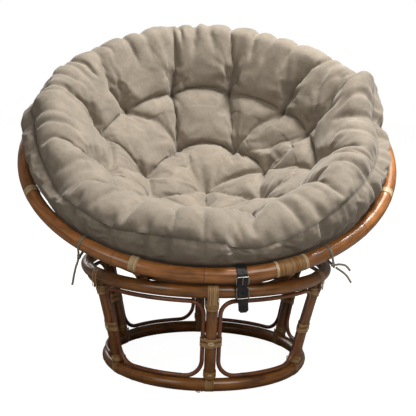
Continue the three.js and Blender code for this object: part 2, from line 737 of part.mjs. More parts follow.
// A flat band round the y axis.
function band(inner, thickness, width) {
  const profile = [
    new THREE.Vector2(inner, -width / 2),
    new THREE.Vector2(inner + thickness, -width / 2),
    new THREE.Vector2(inner + thickness, width / 2),
    new THREE.Vector2(inner, width / 2),
    new THREE.Vector2(inner, -width / 2),
  ];
  return new THREE.LatheGeometry(profile, roundSteps);
}

// A wire rectangle with round corners in the plane of x and y.
function wireFrame(width, height, wire) {
  const points = [];
  const across = [];
  const corner = wire * wireCornerShare;
  const x = (width - wire) / 2 - corner;
  const y = (height - wire) / 2 - corner;
  [[1, 1], [-1, 1], [-1, -1], [1, -1]].forEach(([sideX, sideY], i) => {
    for (let j = 0; j <= wireCornerSteps; j += 1) {
      const bend = polar(corner, ninety * (i + j / wireCornerSteps));
      points.push(bend.add(new THREE.Vector3(sideX * x, sideY * y, 0)));
      across.push(new THREE.Vector3(0, 0, 1));
    }
  });
  return tube(points, across, wire / 2, wireSides, true);
}

function polar(radius, turn) {
  return new THREE.Vector3(radius * Math.cos(rad(turn)), radius * Math.sin(rad(turn)), 0);
}

// Lays a shape on the line between two points of the strap's plane: its y runs along the line
// and its z points outward.
function onLine(geometry, from, to) {
  const up = to.clone().sub(from).normalize();
  const out = new THREE.Vector3(up.y, -up.x, 0);
  const middle = from.clone().add(to).multiplyScalar(1 / 2);
  return placed(geometry, middle, up.clone().cross(out), up, out);
}

// The buckle's two bars, in the strap's plane: x outward and y up from the rim pole's middle.
function buckleLines() {
  const inner = rimPole / 2 + strapGap + strapLeather / 2;
  const eye = prongWire + buckleWire / 2 + gap;
  const heelReach = inner + strapLeather / 2 + gap + eye;
  const heel = polar(heelReach, heelTurn);
  const topBar = polar(inner + strapLeather / 2 + gap + buckleWire / 2 + gap, topBarTurn);
  const outer = heelReach + eye + gap + strapLeather / 2;
  return { inner, eye, heel, topBar, outer };
}

// The hanging front of the strap, from the buckle down to its tip.
function beltFall() {
  const { outer } = buckleLines();
  return beltFallShares.map(([x, y]) => new THREE.Vector3(outer * x, -strapTail * y, 0));
}

// One length of leather: from behind the buckle under and round the rim, down through the
// buckle over its prong, and down in front of the hoop to a cut-off tip.
function makeBelt(frame) {
  const { inner, eye, heel, topBar, outer } = buckleLines();
  const path = [];
  const round = beltStart + fullTurn - topBarTurn;
  for (let i = 0; i <= roundSteps; i += 1) {
    path.push(polar(inner, beltStart - (round * i) / roundSteps));
  }
  for (let i = 1; i <= cornerSteps; i += 1) {
    const share = i / cornerSteps;
    const turn = topBarTurn + (heelTurn - topBarTurn) * share;
    path.push(polar(inner + (outer - inner) * share ** 2, turn));
  }
  const fall = beltFall();
  path.push(...fall);
  let belt = toSolid(sweep(path, rectangle(strapWidth, strapLeather), beltSteps));
  const slot = new THREE.BoxGeometry(strapHole, prongSlot, 3 * eye).translate(0, -prongSwing, eye / 2);
  belt = belt.subtract(toSolid(onLine(slot, heel, topBar)));
  holeShares.forEach((share) => {
    const place = beltAt(fall, strapTail * share);
    const hole = new THREE.CylinderGeometry(strapHole / 2, strapHole / 2, 2 * eye, poleSides);
    belt = belt.subtract(toSolid(hole.rotateZ(rad(ninety)).translate(place.x, place.y, 0)));
  });
  const upper = new THREE.CylinderGeometry(strapHole / 2, strapHole / 2, 2 * eye, poleSides);
  const onRim = polar(inner, holeTurn);
  belt = belt.subtract(toSolid(upper.rotateZ(rad(ninety + holeTurn)).translate(onRim.x, onRim.y, 0)));
  const end = fall[fall.length - 1];
  [-1, 1].forEach((side) => {
    const cut = new THREE.BoxGeometry(2 * eye, strapTip, strapTip).rotateX(rad(ninety / 2));
    belt = belt.subtract(toSolid(cut.translate(end.x, end.y, (side * strapWidth) / 2)));
  });
  const inPlace = toSolid(inFrame(fromSolid(belt), frame));
  return fromSolid(inPlace.subtract(toSolid(rimInPlace(gap))));
}

// The place on the hanging strap that lies a given length below the rim pole's middle.
function beltAt(fall, drop) {
  const i = Math.max(1, fall.findIndex((point) => -point.y > drop));
  const share = (drop + fall[i - 1].y) / (fall[i - 1].y - fall[i].y);
  return fall[i - 1].clone().lerp(fall[i], share);
}

function makeProng(heel, topBar) {
  const rise = topBar.distanceTo(heel);
  const rest = buckleWire / 2 + gap + prongWire / 2;
  const eye = new THREE.TorusGeometry(rest, prongWire / 2, wireSides, roundSteps / 2);
  const shaft = sweep([
    new THREE.Vector3(0, 0, rest),
    new THREE.Vector3(0, rise / 2, rest),
    new THREE.Vector3(0, rise + buckleWire, rest),
  ], circle(prongWire / 2, wireSides), cornerSteps);
  const prong = toSolid(eye.rotateY(rad(ninety))).add(toSolid(shaft));
  return onLine(fromSolid(prong).translate(0, -rise / 2, 0), heel, topBar);
}

function addStrap() {
  const frame = rimFrame(strapTurn);
  const { heel, topBar } = buckleLines();
  add(fittings, 'strap_belt', makeBelt(frame), leather);
  const buckle = wireFrame(buckleWidth, topBar.distanceTo(heel) + buckleWire, buckleWire);
  add(fittings, 'strap_buckle', inFrame(onLine(buckle, heel, topBar), frame), nickel);
  add(fittings, 'strap_prong', inFrame(makeProng(heel, topBar), frame), nickel);
  const lift = new THREE.Vector3(strapLeather / 2 + softGap + frameWire / 2, 0, 0);
  const high = beltAt(beltFall(), frameTop).sub(lift);
  const low = beltAt(beltFall(), frameTop + frameHeight).add(lift);
  const lower = wireFrame(frameWidth, high.distanceTo(low) + frameWire, frameWire);
  add(fittings, 'strap_frame', inFrame(onLine(lower, low, high), frame), nickel);
  add(fittings, 'strap_hoop_loop', makeHoopLoop(frame), leather);
}

// The leather loop that goes round the top hoop, behind the strap.
function makeHoopLoop({ origin, along }) {
  const reach = Math.hypot(along.x, along.y);
  const offset = (origin.dot(along) - topHoopHeight * along.z) / (topHoopRadius * reach);
  const angle = Math.atan2(along.y, along.x) - Math.acos(offset);
  const outward = new THREE.Vector3(Math.cos(angle), Math.sin(angle), 0);
  const tangent = new THREE.Vector3(-outward.y, outward.x, 0);
  const upward = new THREE.Vector3(0, 0, 1);
  const middle = outward.clone().multiplyScalar(topHoopRadius).setZ(topHoopHeight);
  const loop = band(basePole / 2 + softGap, strapLeather, strapWidth);
  const whole = toSolid(placed(loop, middle, upward, tangent, outward.negate()));
  return fromSolid(whole.subtract(toSolid(topHoop(gap).applyMatrix4(base.matrixWorld))));
}

function addBowl() {
  add(bowl, 'rim_hoop', rim(0), rattan);
  add(bowl, 'middle_hoop', lowerHoop(middleHoopTurn, lowerHoopSteps), darkRattan);
  add(bowl, 'bottom_hoop', lowerHoop(bottomHoopTurn, bottomHoopSteps), darkRattan);
  for (let i = 0; i < ribCount; i += 1) {
    add(bowl, `rib_${i + 1}`, makeRib(bowlTurn + ribStep * (i + 1 / 2)), rattan);
  }
  add(bowl, 'rim_splice_wrap', makeSplice(), paleRattan);
  add(bowl, 'cushion', makeCushion(), suede);
}

// Moves the chair so that the middle of its underside is the origin, not counting the tails.
function standOnOrigin() {
  chair.updateMatrixWorld(true);
  const bounds = new THREE.Box3();
  chair.traverse((object) => {
    if (object.isMesh && !object.name.startsWith('tie_tail')) bounds.expandByObject(object, true);
  });
  const middle = bounds.getCenter(new THREE.Vector3());
  chair.children.forEach((group) => group.position.sub(middle.clone().setZ(bounds.min.z)));
}

addBase();
addBowl();
addStrap();
addTie('left', leftTieTurn, leftKnotTurn, leftTails);
addTie('right', rightTieTurn, rightKnotTurn, rightTails);
standOnOrigin();
export default chair;
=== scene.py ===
import json
import math

import bmesh
import bpy
import numpy as np
from bpy.props import FloatProperty, FloatVectorProperty, IntProperty, PointerProperty
from bpy.types import Operator, Panel, PropertyGroup
from mathutils import Matrix, Vector
from mathutils.geometry import delaunay_2d_cdt


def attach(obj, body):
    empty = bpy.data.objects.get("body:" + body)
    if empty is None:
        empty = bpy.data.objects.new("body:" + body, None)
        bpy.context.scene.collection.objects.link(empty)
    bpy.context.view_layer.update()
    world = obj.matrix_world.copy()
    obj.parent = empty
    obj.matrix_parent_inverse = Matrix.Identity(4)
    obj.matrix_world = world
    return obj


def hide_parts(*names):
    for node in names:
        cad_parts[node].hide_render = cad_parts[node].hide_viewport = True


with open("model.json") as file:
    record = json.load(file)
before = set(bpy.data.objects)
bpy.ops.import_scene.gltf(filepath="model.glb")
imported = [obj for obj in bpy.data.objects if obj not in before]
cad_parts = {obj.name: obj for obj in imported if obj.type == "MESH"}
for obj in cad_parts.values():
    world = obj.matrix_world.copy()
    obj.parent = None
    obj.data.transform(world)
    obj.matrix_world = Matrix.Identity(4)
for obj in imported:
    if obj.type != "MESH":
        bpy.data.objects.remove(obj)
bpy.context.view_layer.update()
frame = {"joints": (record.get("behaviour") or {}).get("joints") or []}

bl_info = {
    "name": "Papasan chair",
    "version": (1, 0, 0),
    "blender": (4, 5, 0),
    "location": "3D View > Sidebar > Papasan chair",
    "description": "A tufted cushion in a tilting rattan bowl on a rattan base",
    "category": "Add Mesh",
}

# Metres and degrees, as in the solid model. A turn is counted round the vertical from the front
# towards the right; the bowl's own frame has its ball's middle at the pivot.
PIVOT = np.array(next(j for j in frame["joints"] if j["name"] == "bowl_swivel")["pos_m"])
BASE_TURN, BOWL_TURN, BOWL_TILT, BOWL_LEAN = 3.3, 3.6, 30.4998, 1.05
FLOOR_HOOP = (0.2761, 0.0214)  # radius and height of the pole's middle
TOP_HOOP = (0.3386, 0.2876)
RIM = (0.5302, -0.2153747)
RIB_BALL, LOWER_BALL = 0.5712747, 0.5464747
MIDDLE_HOOP_TURN, BOTTOM_HOOP_TURN, RIB_END_TURN = 52, 10.5, 8
WAIST_HEIGHT = 0.146
GAP, SOFT_GAP = 0.0003, 0.0006
SPLICE_TURN, SPLICE_LENGTH = 24.7, 0.088
STRAP_TURN, STRAP_TAIL = 10.5, 0.095
STRAP_WIDTH, BUCKLE_WIDTH = 0.026, 0.034
BUCKLE_WIRE, FRAME_WIRE, PRONG_WIRE = 0.0026, 0.003, 0.002
BELT_GAP = 0.0014  # from the rim's pole to the strap
HEEL_TURN, BAR_TURN = -56, -3  # the buckle's lower and upper bar, as turns round the rim's pole
HOLE_TURN, HOLE_SHARE = 24, 0.47  # a hole above the buckle, and one down the strap's fall
HOLE_WIDTH, SLOT_LENGTH = 0.0044, 0.024
TAPE_THICKNESS = 0.0016
POST_TURNS = [60 * i for i in range(6)]
RIB_TURNS = [BOWL_TURN + 45 * (i + 0.5) for i in range(8)]
TIES = {  # turn on the rim, the knot's turn round the pole, and its tails
    "left": (-35.7, -83, [
        [(0, -8, 0), (0, -17, 0), (0, -30, 1), (-1, -43, 1), (-2, -57, 1), (-3, -70, 0), (-4, -82, 0)]]),
    "right": (37, -63, [
        [(6.7, 2, -3.6), (13, 3, -8), (19, 2, -12), (25, 0, -16), (29, -4, -19), (32, -10, -21),
         (34, -17, -23)],
        [(2.4, -6.4, -4.1), (6, -12, -8), (11, -19, -13), (15, -27, -18), (19, -36, -22), (22, -45, -24),
         (25, -54, -26)]]),
}
KNOT_DROP, TAIL_THICKNESS = 0.038, 0.006


def linear(code):
    """An sRGB hex colour as linear red, green and blue."""
    parts = [int(code[i:i + 2], 16) / 255 for i in (0, 2, 4)]
    return tuple(p / 12.92 if p <= 0.04045 else ((p + 0.055) / 1.055) ** 2.4 for p in parts)


def length_size(name, description, default):
    return FloatProperty(name=name, description=description, default=default, min=0.0,
                         subtype="DISTANCE", unit="LENGTH", precision=4)


def colour(name, description, code):
    return FloatVectorProperty(name=name, description=description, default=linear(code),
                               subtype="COLOR", min=0.0, max=1.0, size=3)


class PapasanSizes(PropertyGroup):
    rim_pole: length_size("Rim pole", "Thickness of the rim's pole", 0.0396)
    base_pole: length_size("Base hoop pole", "Thickness of the base's two hoops", 0.0348)
    post_pole: length_size("Post", "Thickness of the six posts", 0.030)
    rod_pole: length_size("Bent rod", "Thickness of the rods between the posts", 0.0116)
    rib_pole: length_size("Rib", "Thickness of the bowl's ribs", 0.024)
    lower_pole: length_size("Lower hoops", "Thickness of the bowl's middle and bottom hoops", 0.025)
    strand_width: length_size("Peel width", "Width of a strand of rattan peel", 0.0044)
    strand_thickness: length_size("Peel thickness", "Thickness of a strand of rattan peel", 0.0009)
    joint_rise: length_size("Cane joint", "How far a joint of the cane stands out", 0.0006)
    puff_rise: length_size("Puff rise", "How far the cushion swells between its tufts", 0.052)
    wrinkle: length_size("Wrinkles", "Depth of the cushion's fine wrinkles", 0.0026)
    leather: length_size("Strap leather", "Thickness of the strap", 0.0022)
    tape_width: length_size("Tie width", "Width of the cushion's tape ties", 0.008)
    seed: IntProperty(name="Seed", description="Seed of everything irregular", default=7, min=0)


class PapasanFinishes(PropertyGroup):
    rim: colour("Rim cane", "Lacquered cane of the rim and ribs", "9c6433")
    base: colour("Base cane", "Stained cane of the base", "80501f")
    rods: colour("Rod cane", "Stained cane of the bent rods", "784626")
    peel: colour("Peel", "Wraps of rattan peel", "96682f")
    peel_pale: colour("Pale peel", "The lighter strands of peel", "dcc39a")
    suede: colour("Microsuede", "The cushion's cover", "81776a")
    tape: colour("Tie tape", "The cushion's ties", "857d70")
    leather: colour("Strap leather", "Dyed leather of the strap", "1d1b1a")
    nickel: colour("Nickel", "Plated wire of the buckle and frame", "c3c1bc")


def set_inputs(tree, node, inputs):
    """Each input, by name or number, gets a value, or a link from a socket or a node's first output."""
    for name, value in inputs.items():
        if isinstance(value, bpy.types.Node):
            value = value.outputs[0]
        if isinstance(value, bpy.types.NodeSocket):
            tree.links.new(value, node.inputs[name])
        else:
            node.inputs[name].default_value = value


def add_node(tree, kind, inputs=None, stops=(), **settings):
    """Adds a node with its settings and inputs. A colour ramp gets stops: each a place and a colour."""
    made = tree.nodes.new(kind)
    for name, value in settings.items():
        setattr(made, name, value)
    set_inputs(tree, made, inputs or {})
    if stops:
        elements = made.color_ramp.elements
        while len(elements) < len(stops):
            elements.new(0.5)
        for element, (place, rgb) in zip(elements, stops):
            element.position = place
            element.color = (*rgb, 1)
    return made


def new_mesh(name, points, faces=(), edges=()):
    mesh = bpy.data.meshes.new(name)
    mesh.from_pydata(np.asarray(points, float).tolist(), edges, faces)
    return mesh


def new_object(name, data):
    made = bpy.data.objects.new(name, data)
    bpy.context.scene.collection.objects.link(made)
    return made


# ---------------------------------------------------------------- places

def turned(axis, angle):
    return np.array(Matrix.Rotation(math.radians(angle), 3, axis))


BOWL = turned("Y", BOWL_LEAN) @ turned("X", BOWL_TILT)


def round_point(turn, radius, height):
    """Points at a turn from the front, a distance from the vertical axis and a height."""
    angle = np.radians(np.asarray(turn, float) - 90)
    parts = np.broadcast_arrays(radius * np.cos(angle), radius * np.sin(angle), height)
    return np.stack(parts, -1).astype(float)


def in_base(points):
    return np.asarray(points, float) @ turned("Z", BASE_TURN).T + (PIVOT[0], PIVOT[1], 0)


def in_bowl(points):
    return np.asarray(points, float) @ BOWL.T + PIVOT


def unit(vectors):
    vectors = np.asarray(vectors, float)
    return vectors / np.linalg.norm(vectors, axis=-1, keepdims=True)


def wall_radius(height):
    """The posts and rods stand on this wall, which curves outward to the top hoop."""
    share = np.clip((height - FLOOR_HOOP[1]) / (TOP_HOOP[1] - FLOOR_HOOP[1]), 0, None)
    return FLOOR_HOOP[0] + (TOP_HOOP[0] + 0.002 - FLOOR_HOOP[0]) * share ** 1.15


def rib_point(turn, rise, radius=RIB_BALL):
    """A point of the bowl's ball, from a turn and a turn up from its lowest point."""
    rise = np.radians(np.asarray(rise, float))
    return round_point(turn, radius * np.sin(rise), -radius * np.cos(rise))


RIM_RISE = math.degrees(math.atan2(RIM[0], -RIM[1]))


class RimPlace:
    """A frame on the rim: x outward, y up and z along the rim to the left, from the pole's middle."""

    def __init__(self, turn):
        self.along = unit(BOWL @ round_point(turn + 90, 1, 0))
        self.origin = in_bowl(round_point(turn, *RIM))
        self.up = unit(np.array([0, 0, 1]) - self.along * self.along[2])
        self.out = np.cross(self.along, self.up)

    def place(self, points):
        x, y, z = np.asarray(points, float).T
        return self.origin + np.outer(x, self.out) + np.outer(y, self.up) - np.outer(z, self.along)


def polar(radius, turn):
    turn = np.radians(turn)
    return np.stack(np.broadcast_arrays(radius * np.cos(turn), radius * np.sin(turn)), -1)


def turn_between(a, b):
    """The turn from b to a, from -180 to 180."""
    return (a - b + 180) % 360 - 180


def curve_between(a, b, c, d, t):
    """Points at shares t of the way from b to c, on a smooth line that comes from a and goes to d."""
    return 0.5 * (2 * b + (c - a) * t + (2 * a - 5 * b + 4 * c - d) * t ** 2
                  + (3 * b - a - 3 * c + d) * t ** 3)


def path_length(points):
    """The length along a path up to each of its points."""
    return np.concatenate([[0], np.cumsum(np.linalg.norm(np.diff(points, axis=0), axis=1))])


def placer(origin, *axes):
    """A function that takes places along these axes to places on the chair."""
    axes = np.stack(axes)

    def place(places):
        return origin + np.asarray(places, float) @ axes
    return place


def smooth_path(points, step, closed=False):
    """A smooth line through points, with a new point about every step."""
    points = np.asarray(points, float)
    count = len(points)
    if closed:
        around = np.concatenate([points[-1:], points, points[:2]])
        spans = count
    else:
        ends = (2 * points[:1] - points[1:2], 2 * points[-1:] - points[-2:-1])
        around = np.concatenate([ends[0], points, ends[1]])
        spans = count - 1
    made = []
    for i in range(spans):
        a, b, c, d = around[i:i + 4]
        pieces = max(1, int(round(np.linalg.norm(c - b) / step)))
        made.append(curve_between(a, b, c, d, (np.arange(pieces) / pieces)[:, None]))
    if not closed:
        made.append(points[-1:])
    return np.concatenate(made)


# ---------------------------------------------------------------- swept poles and strands

JOINT_REACH = 0.0034  # of a joint's swelling, along the cane


class Lines:
    """Lines for one piece, with what each point of them tells the sweep and the finish."""

    def __init__(self, seed):
        self.random = np.random.default_rng(seed)
        self.points, self.edges = [], []
        self.values = {name: [] for name in ("out", "size", "ring", "tint", "along")}
        self.count = 0

    def add(self, points, out, closed=False, rings=(), tint=0.0, round_ends=0.0):
        points = np.asarray(points, float)
        n = len(points)
        along = path_length(points)
        size = np.ones(n)
        if round_ends:
            left = np.minimum(along, along[-1] - along)
            size *= np.sqrt(np.clip(1 - (1 - np.clip(left / round_ends, 0, 1)) ** 2, 0.05, 1))
        ring = sum((np.exp(-((along - place) / JOINT_REACH) ** 2) for place in rings), np.zeros(n))
        self.points.append(points)
        first = self.count
        pairs = [(first + i, first + i + 1) for i in range(n - 1)]
        self.edges += pairs + ([(first + n - 1, first)] if closed else [])
        for name, value in (("out", np.broadcast_to(out, (n, 3))), ("size", size), ("ring", ring),
                            ("tint", np.full(n, float(tint))),
                            ("along", along + self.random.uniform(0, 9))):
            self.values[name].append(value)
        self.count += n

    def mesh(self, name):
        mesh = new_mesh(name, np.concatenate(self.points), edges=self.edges)
        for key, parts in self.values.items():
            data = np.concatenate(parts)
            kind, field = ("FLOAT_VECTOR", "vector") if data.ndim == 2 else ("FLOAT", "value")
            layer = mesh.attributes.new(key, kind, "POINT")
            layer.data.foreach_set(field, data.astype(np.float32).ravel())
        return mesh


def sweep_tree():
    """Sweeps a round or flat section along the lines, and gives the finish its place on the pole."""
    tree = bpy.data.node_groups.new("Swept cane", "GeometryNodeTree")
    tree.interface.new_socket("Geometry", in_out="OUTPUT", socket_type="NodeSocketGeometry")
    for name, kind in (("Lines", "Geometry"), ("Width", "Float"), ("Thickness", "Float"),
                       ("Sides", "Int"), ("Joint rise", "Float"), ("Waviness", "Float"),
                       ("Seed", "Float"), ("Finish", "Material")):
        tree.interface.new_socket(name, in_out="INPUT", socket_type="NodeSocket" + kind)
    given = add_node(tree, "NodeGroupInput").outputs
    told = {name: add_node(tree, "GeometryNodeInputNamedAttribute", {"Name": name}, data_type=kind)
            for name, kind in (("out", "FLOAT_VECTOR"), ("ring", "FLOAT"), ("size", "FLOAT"))}
    # The lines leave their path a little, about every 90 mm.
    curve = add_node(tree, "GeometryNodeMeshToCurve", {"Mesh": given["Lines"]})
    place = add_node(tree, "GeometryNodeInputPosition")
    wave = add_node(tree, "ShaderNodeTexNoise",
                    {"Vector": place, "W": given["Seed"], "Scale": 11.0, "Detail": 1.0},
                    noise_dimensions="4D")
    centred = add_node(tree, "ShaderNodeVectorMath", {0: wave.outputs["Color"], 1: (0.5, 0.5, 0.5)},
                       operation="SUBTRACT")
    shift = add_node(tree, "ShaderNodeVectorMath", {0: centred, "Scale": given["Waviness"]},
                     operation="SCALE")
    moved = add_node(tree, "GeometryNodeSetPosition", {"Geometry": curve, "Offset": shift})
    facing = add_node(tree, "GeometryNodeSetCurveNormal", {"Curve": moved, "Normal": told["out"]},
                      mode="FREE")
    # Wider by twice the joint's rise where there is one.
    rise = add_node(tree, "ShaderNodeMath", {0: told["ring"], 1: given["Joint rise"]},
                    operation="MULTIPLY")
    swell = add_node(tree, "ShaderNodeMath", {0: rise, 1: given["Thickness"]}, operation="DIVIDE")
    doubled = add_node(tree, "ShaderNodeMath", {0: swell, 1: 2.0}, operation="MULTIPLY")
    wider = add_node(tree, "ShaderNodeMath", {0: doubled, 1: 1.0}, operation="ADD")
    scale = add_node(tree, "ShaderNodeMath", {0: told["size"], 1: wider}, operation="MULTIPLY")
    circle = add_node(tree, "GeometryNodeCurvePrimitiveCircle",
                      {"Resolution": given["Sides"], "Radius": 0.5})
    section = add_node(tree, "ShaderNodeCombineXYZ", {0: given["Thickness"], 1: given["Width"], 2: 1.0})
    profile = add_node(tree, "GeometryNodeTransform", {"Geometry": circle, "Scale": section})
    marked = add_node(tree, "GeometryNodeStoreNamedAttribute",
                      {"Geometry": profile, "Name": "around", "Value": place},
                      data_type="FLOAT_VECTOR", domain="POINT")
    swept = add_node(tree, "GeometryNodeCurveToMesh",
                     {"Curve": facing, "Profile Curve": marked, "Scale": scale, "Fill Caps": True})
    smooth = add_node(tree, "GeometryNodeSetShadeSmooth", {"Geometry": swept})
    real = add_node(tree, "GeometryNodeRealizeInstances", {"Geometry": smooth})
    done = add_node(tree, "GeometryNodeSetMaterial", {"Geometry": real, "Material": given["Finish"]})
    add_node(tree, "NodeGroupOutput", {"Geometry": done})
    return tree


def swept(name, lines, finish, width, thickness=None, sides=20, joint_rise=0.0, waviness=0.0, seed=1.0):
    """The lines as poles or strands: one plain mesh."""
    tree = bpy.data.node_groups.get("Swept cane") or sweep_tree()
    piece = new_object(name, lines.mesh(name))
    modifier = piece.modifiers.new("Sweep", "NODES")
    modifier.node_group = tree
    values = {"Width": width, "Thickness": thickness or width, "Sides": sides, "Joint rise": joint_rise,
              "Waviness": waviness, "Seed": seed, "Finish": finish}
    for item in tree.interface.items_tree:
        if item.item_type == "SOCKET" and item.in_out == "INPUT" and item.name in values:
            modifier[item.identifier] = values[item.name]
    return plain(piece)


def plain(piece):
    """Turns the evaluated object into its plain mesh and takes its modifiers off."""
    graph = bpy.context.evaluated_depsgraph_get()
    mesh = bpy.data.meshes.new_from_object(piece.evaluated_get(graph), preserve_all_data_layers=True,
                                           depsgraph=graph)
    if not mesh.polygons:
        raise RuntimeError(f"{piece.name} has no faces")
    old = piece.data
    piece.modifiers.clear()
    piece.data = mesh
    mesh.name = piece.name
    bpy.data.meshes.remove(old)
    return piece


def fixed(piece, body, *nodes, slot):
    """Fixes a finished piece to a body, in place of the solids that it shows."""
    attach(piece, body)
    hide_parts(*nodes)


def numbered(name, count):
    return [f"{name}_{i + 1}" for i in range(count)]


# ---------------------------------------------------------------- finishes

def new_material(name):
    material = bpy.data.materials.new(name)
    material.use_nodes = True
    return material


def shade(rgb, factor):
    return tuple(min(1.0, c * factor) for c in rgb)


def cane_place(tree, across, along):
    """The surface's place on its pole, scaled to pattern sizes in metres."""
    around = add_node(tree, "ShaderNodeAttribute", attribute_name="around").outputs["Vector"]
    flat = add_node(tree, "ShaderNodeVectorMath", {0: around, 1: (1 / across, 1 / across, 0)},
                    operation="MULTIPLY")
    run = add_node(tree, "ShaderNodeAttribute", attribute_name="along").outputs["Fac"]
    length = add_node(tree, "ShaderNodeMath", {0: run, 1: 1 / along}, operation="MULTIPLY")
    lengthwise = add_node(tree, "ShaderNodeCombineXYZ", {2: length})
    return add_node(tree, "ShaderNodeVectorMath", {0: flat, 1: lengthwise})


# Each finish adds its nodes and returns the inputs of the material's shader.

def lacquered_cane(tree, rgb, contrast, coat):
    """Peeled cane, stained and lacquered: long streaks, blotches of stain, darker joints, soft gloss."""
    streaks = add_node(tree, "ShaderNodeTexNoise",
                       {"Vector": cane_place(tree, 0.0026, 0.09), "Scale": 1.0, "Detail": 3.0,
                        "Roughness": 0.6})
    blotches = add_node(tree, "ShaderNodeTexNoise",
                        {"Vector": cane_place(tree, 0.02, 0.055), "Scale": 1.0, "Detail": 2.0})
    both = add_node(tree, "ShaderNodeMix", {"Factor": 0.45, 2: streaks, 3: blotches})
    dark, pale = shade(rgb, 1 - 0.42 * contrast), shade(rgb, 1 + 0.34 * contrast)
    colours = add_node(tree, "ShaderNodeValToRGB", {0: both},
                       stops=((0.36, dark), (0.5, rgb), (0.64, pale)))
    joint = add_node(tree, "ShaderNodeAttribute", attribute_name="ring").outputs["Fac"]
    line = add_node(tree, "ShaderNodeMapRange", {0: joint, 1: 0.45, 2: 0.95, 3: 0.0, 4: 0.62})
    toned = add_node(tree, "ShaderNodeMix", {"Factor": line, 6: colours, 7: (*shade(rgb, 0.34), 1)},
                     data_type="RGBA")
    bump = add_node(tree, "ShaderNodeBump", {"Strength": 0.25, "Distance": 0.0006, "Height": streaks})
    return {"Base Color": toned.outputs[2], "Normal": bump, "Roughness": 0.38, "Coat Weight": coat,
            "Coat Roughness": 0.18}


def rattan_peel(tree, rgb, pale):
    """Split rattan peel, hardly lacquered: fine lengthwise fibres, some strands left pale."""
    fibres = add_node(tree, "ShaderNodeTexNoise",
                      {"Vector": cane_place(tree, 0.0012, 0.03), "Scale": 1.0, "Detail": 2.0})
    tint = add_node(tree, "ShaderNodeAttribute", attribute_name="tint").outputs["Fac"]
    dark = add_node(tree, "ShaderNodeValToRGB", {0: fibres},
                    stops=((0.3, shade(rgb, 0.62)), (0.52, rgb), (0.7, shade(rgb, 1.3))))
    light = add_node(tree, "ShaderNodeValToRGB", {0: fibres},
                     stops=((0.3, shade(pale, 0.6)), (0.6, pale)))
    toned = add_node(tree, "ShaderNodeMix", {"Factor": tint, 6: dark, 7: light}, data_type="RGBA")
    bump = add_node(tree, "ShaderNodeBump", {"Strength": 0.4, "Distance": 0.0003, "Height": fibres})
    return {"Base Color": toned.outputs[2], "Normal": bump, "Roughness": 0.5, "Coat Weight": 0.15,
            "Coat Roughness": 0.35}


def microsuede(tree, rgb):
    """Brushed polyester microsuede: a short nap that lies in lighter and darker patches, and a
    soft sheen where it turns away."""
    place = add_node(tree, "ShaderNodeTexCoord").outputs["Object"]
    # Nap patches 60 mm across, crushed streaks 14 mm, and fibre 2 mm: coarser than real, to show.
    patches = add_node(tree, "ShaderNodeTexNoise", {"Vector": place, "Scale": 16.0, "Detail": 3.0,
                                                    "Roughness": 0.55, "Distortion": 0.6})
    crushed = add_node(tree, "ShaderNodeTexNoise", {"Vector": place, "Scale": 70.0, "Detail": 2.0,
                                                    "Distortion": 0.9})
    fibre = add_node(tree, "ShaderNodeTexNoise", {"Vector": place, "Scale": 520.0, "Detail": 1.0})
    nap = add_node(tree, "ShaderNodeMix", {"Factor": 0.35, 2: patches, 3: crushed})
    colours = add_node(tree, "ShaderNodeValToRGB", {0: nap},
                       stops=((0.34, shade(rgb, 0.82)), (0.5, rgb), (0.66, shade(rgb, 1.16))))
    # Painted shade: a point attribute from the cushion darkens creases and the sewn seam towards a third
    # of the cover's colour.
    hollow = add_node(tree, "ShaderNodeAttribute", attribute_name="hollow").outputs["Fac"]
    toned = add_node(tree, "ShaderNodeMix", {"Factor": hollow, 6: colours, 7: (*shade(rgb, 0.3), 1)},
                     data_type="RGBA")
    bump = add_node(tree, "ShaderNodeBump", {"Strength": 0.18, "Distance": 0.0006, "Height": fibre})
    soft = add_node(tree, "ShaderNodeBump", {"Strength": 0.35, "Distance": 0.0022, "Height": crushed,
                                             "Normal": bump})
    return {"Base Color": toned.outputs[2], "Normal": soft, "Roughness": 0.86, "Specular IOR Level": 0.25,
            "Sheen Weight": 0.3, "Sheen Roughness": 0.45, "Sheen Tint": (0.93, 0.89, 0.83, 1)}


def dyed_leather(tree, rgb):
    """Drum-dyed cowhide: a pebbled grain about 0.8 mm across under a low polish."""
    place = add_node(tree, "ShaderNodeTexCoord").outputs["Object"]
    grain = add_node(tree, "ShaderNodeTexVoronoi", {"Vector": place, "Scale": 1100.0})
    worn = add_node(tree, "ShaderNodeTexNoise", {"Vector": place, "Scale": 60.0, "Detail": 3.0})
    colours = add_node(tree, "ShaderNodeValToRGB", {0: worn},
                       stops=((0.35, shade(rgb, 0.8)), (0.7, shade(rgb, 1.9))))
    bump = add_node(tree, "ShaderNodeBump", {"Strength": 0.35, "Distance": 0.0002,
                                             "Height": grain.outputs["Distance"]})
    return {"Base Color": colours, "Normal": bump, "Roughness": 0.46, "Specular IOR Level": 0.45}


def woven_tape(tree, rgb):
    """Cotton twill tape: matt, with a rib about every 1.2 mm, drawn that coarse to show."""
    place = add_node(tree, "ShaderNodeTexCoord").outputs["Object"]
    twill = add_node(tree, "ShaderNodeTexWave", {"Vector": place, "Scale": 260.0, "Distortion": 1.2},
                     bands_direction="DIAGONAL").outputs["Fac"]
    spots = add_node(tree, "ShaderNodeTexNoise", {"Vector": place, "Scale": 90.0, "Detail": 2.0})
    both = add_node(tree, "ShaderNodeMix", {"Factor": 0.5, 2: twill, 3: spots})
    colours = add_node(tree, "ShaderNodeValToRGB", {0: both},
                       stops=((0.25, shade(rgb, 0.6)), (0.75, shade(rgb, 1.3))))
    bump = add_node(tree, "ShaderNodeBump", {"Strength": 0.5, "Distance": 0.0004, "Height": twill})
    return {"Base Color": colours, "Normal": bump, "Roughness": 0.9, "Specular IOR Level": 0.2,
            "Sheen Weight": 0.25}


